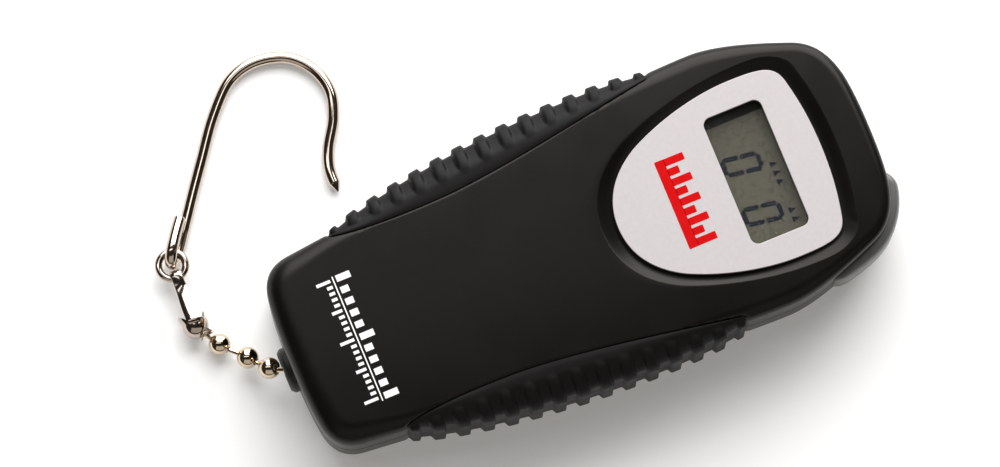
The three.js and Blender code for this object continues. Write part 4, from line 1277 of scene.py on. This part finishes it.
def blend(low, high, start, end, t):
    """Between two points, at t from start to end."""
    return (low * (end - t) + high * (t - start)) / (end - start)


def catmull(points, steps):
    """A smooth curve through points, with centripetal spacing."""
    points = np.asarray(points, float)
    full = np.vstack([2 * points[0] - points[1], points, 2 * points[-1] - points[-2]])
    line = []
    for i in range(1, len(full) - 2):
        p = full[i - 1 : i + 3]
        knots = [0.0]
        for a, b in zip(p, p[1:]):
            knots.append(knots[-1] + max(np.linalg.norm(b - a), 1e-6) ** 0.5)
        for s in range(steps):
            t = knots[1] + (knots[2] - knots[1]) * s / steps
            level = list(p)
            for spans in ([(0, 1), (1, 2), (2, 3)], [(0, 2), (1, 3)], [(1, 2)]):
                level = [
                    blend(level[k], level[k + 1], knots[a], knots[b], t)
                    for k, (a, b) in enumerate(spans)
                ]
            line.append(level[0])
    line.append(points[-1])
    return np.array(line)


def build_clip():
    near = petal((0.70, -0.66, 0.12), 84, 0.1, 1.3, tipped=True)
    far = petal((0.40, 0.90, -0.05), 62, 0.08, 0.8)
    shape = oriented(*merged(near, far, folded_strap()))
    clip = make_piece("chain_coupling", *shape, CLIP_NICKEL, "chain_clip", sharp=50)
    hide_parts("chain_clip")


def build_ring():
    steps, sides = 96, 32
    up = (0, 0, 1)
    rings = []
    for angle in 2 * np.pi * np.arange(steps) / steps:
        out = np.array([math.cos(angle), math.sin(angle), 0])
        rings.append(np.array(RING_CENTRE) + RING_R * out + RING_WIRE_R * circle(out, up, sides))
    faces = ring_faces(steps, sides, closed_rows=True)
    shape = oriented(np.array(rings).reshape(-1, 3), faces)
    ring = make_piece("wire_ring", *shape, RING_NICKEL, "swivel_ring", sharp=70)
    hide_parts("swivel_ring")


def hook_path():
    """The hook's centre line: a return leg over the ring, the eye, the shank and the bend. The
    return leg lies a little to one side of the shank."""
    ring = np.array(RING_CENTRE, float)
    heading = unit([-61 - ring[0], -63.4 - ring[1], 0])
    side = np.array([-heading[1], heading[0], 0])
    eye = ring + heading * (RING_R + EYE_SLACK)
    eye_r = ring[2] - HOOK_Z
    points = []

    def add(distance, across, z):
        spot = eye + heading * distance + side * across
        points.append((spot[0], spot[1], z))

    for distance, across, fall in ((8, 1.05, 1.8), (4, 1.0, 0.7)):
        add(distance, across, ring[2] + eye_r - fall)
    for i in range(5):
        angle = math.pi / 2 - i / 4 * math.pi
        add(-eye_r * math.cos(angle), 0.75 - 0.28 * i, ring[2] + eye_r * math.sin(angle))
    for distance, across in ((6, -0.3), (14, -0.1), (22, 0)):
        add(distance, across, HOOK_Z)
    bend = [(-61, -63.4), (-66.9, -57), (-68.5, -50.6), (-66.7, -43.4), (-62, -38.9), (-56, -37.3)]
    point = [(-50.2, -38.9), (-44, -42.6), (-39.5, -44.1), (-34.3, -44.2)]
    points += [(x, y, HOOK_Z) for x, y in bend + point]
    return catmull(points, 14)


def build_hook():
    """Round wire with a square-cut eye end and a short cut point."""
    path = hook_path()
    reached = np.concatenate([[0], np.cumsum(np.linalg.norm(np.diff(path, axis=0), axis=1))])
    count = 420
    shares = np.linspace(0, 1, count)
    line = even_points(path, shares)
    from_start = shares * reached[-1]
    from_tip = reached[-1] - from_start
    radii = np.full(count, HOOK_WIRE_R)
    radii *= 0.9 + 0.1 * smooth(0, 0.25, from_start)
    radii *= 0.12 + 0.88 * np.clip(from_tip / 2.0, 0, 1)
    shape = oriented(*swept(line, radii, 28))
    hook = make_piece("wire_hook", *shape, HOOK_NICKEL, "hook", sharp=50)
    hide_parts("hook")


build_clip()
build_ring()
build_hook()


# ---------- carried-over parts ----------


def dress_frame_nodes():
    """Gives every part that is shown as it was made its finish."""
    slots = {part["node"]: part["material_slot"] for part in frame["record"]["subparts"]}
    for name, node in frame["nodes"].items():
        if node.hide_render:
            continue
        slot = slots[name]
        node.data.materials.clear()
        node.data.materials.append(INNER_LOOKS[slot])


dress_frame_nodes()
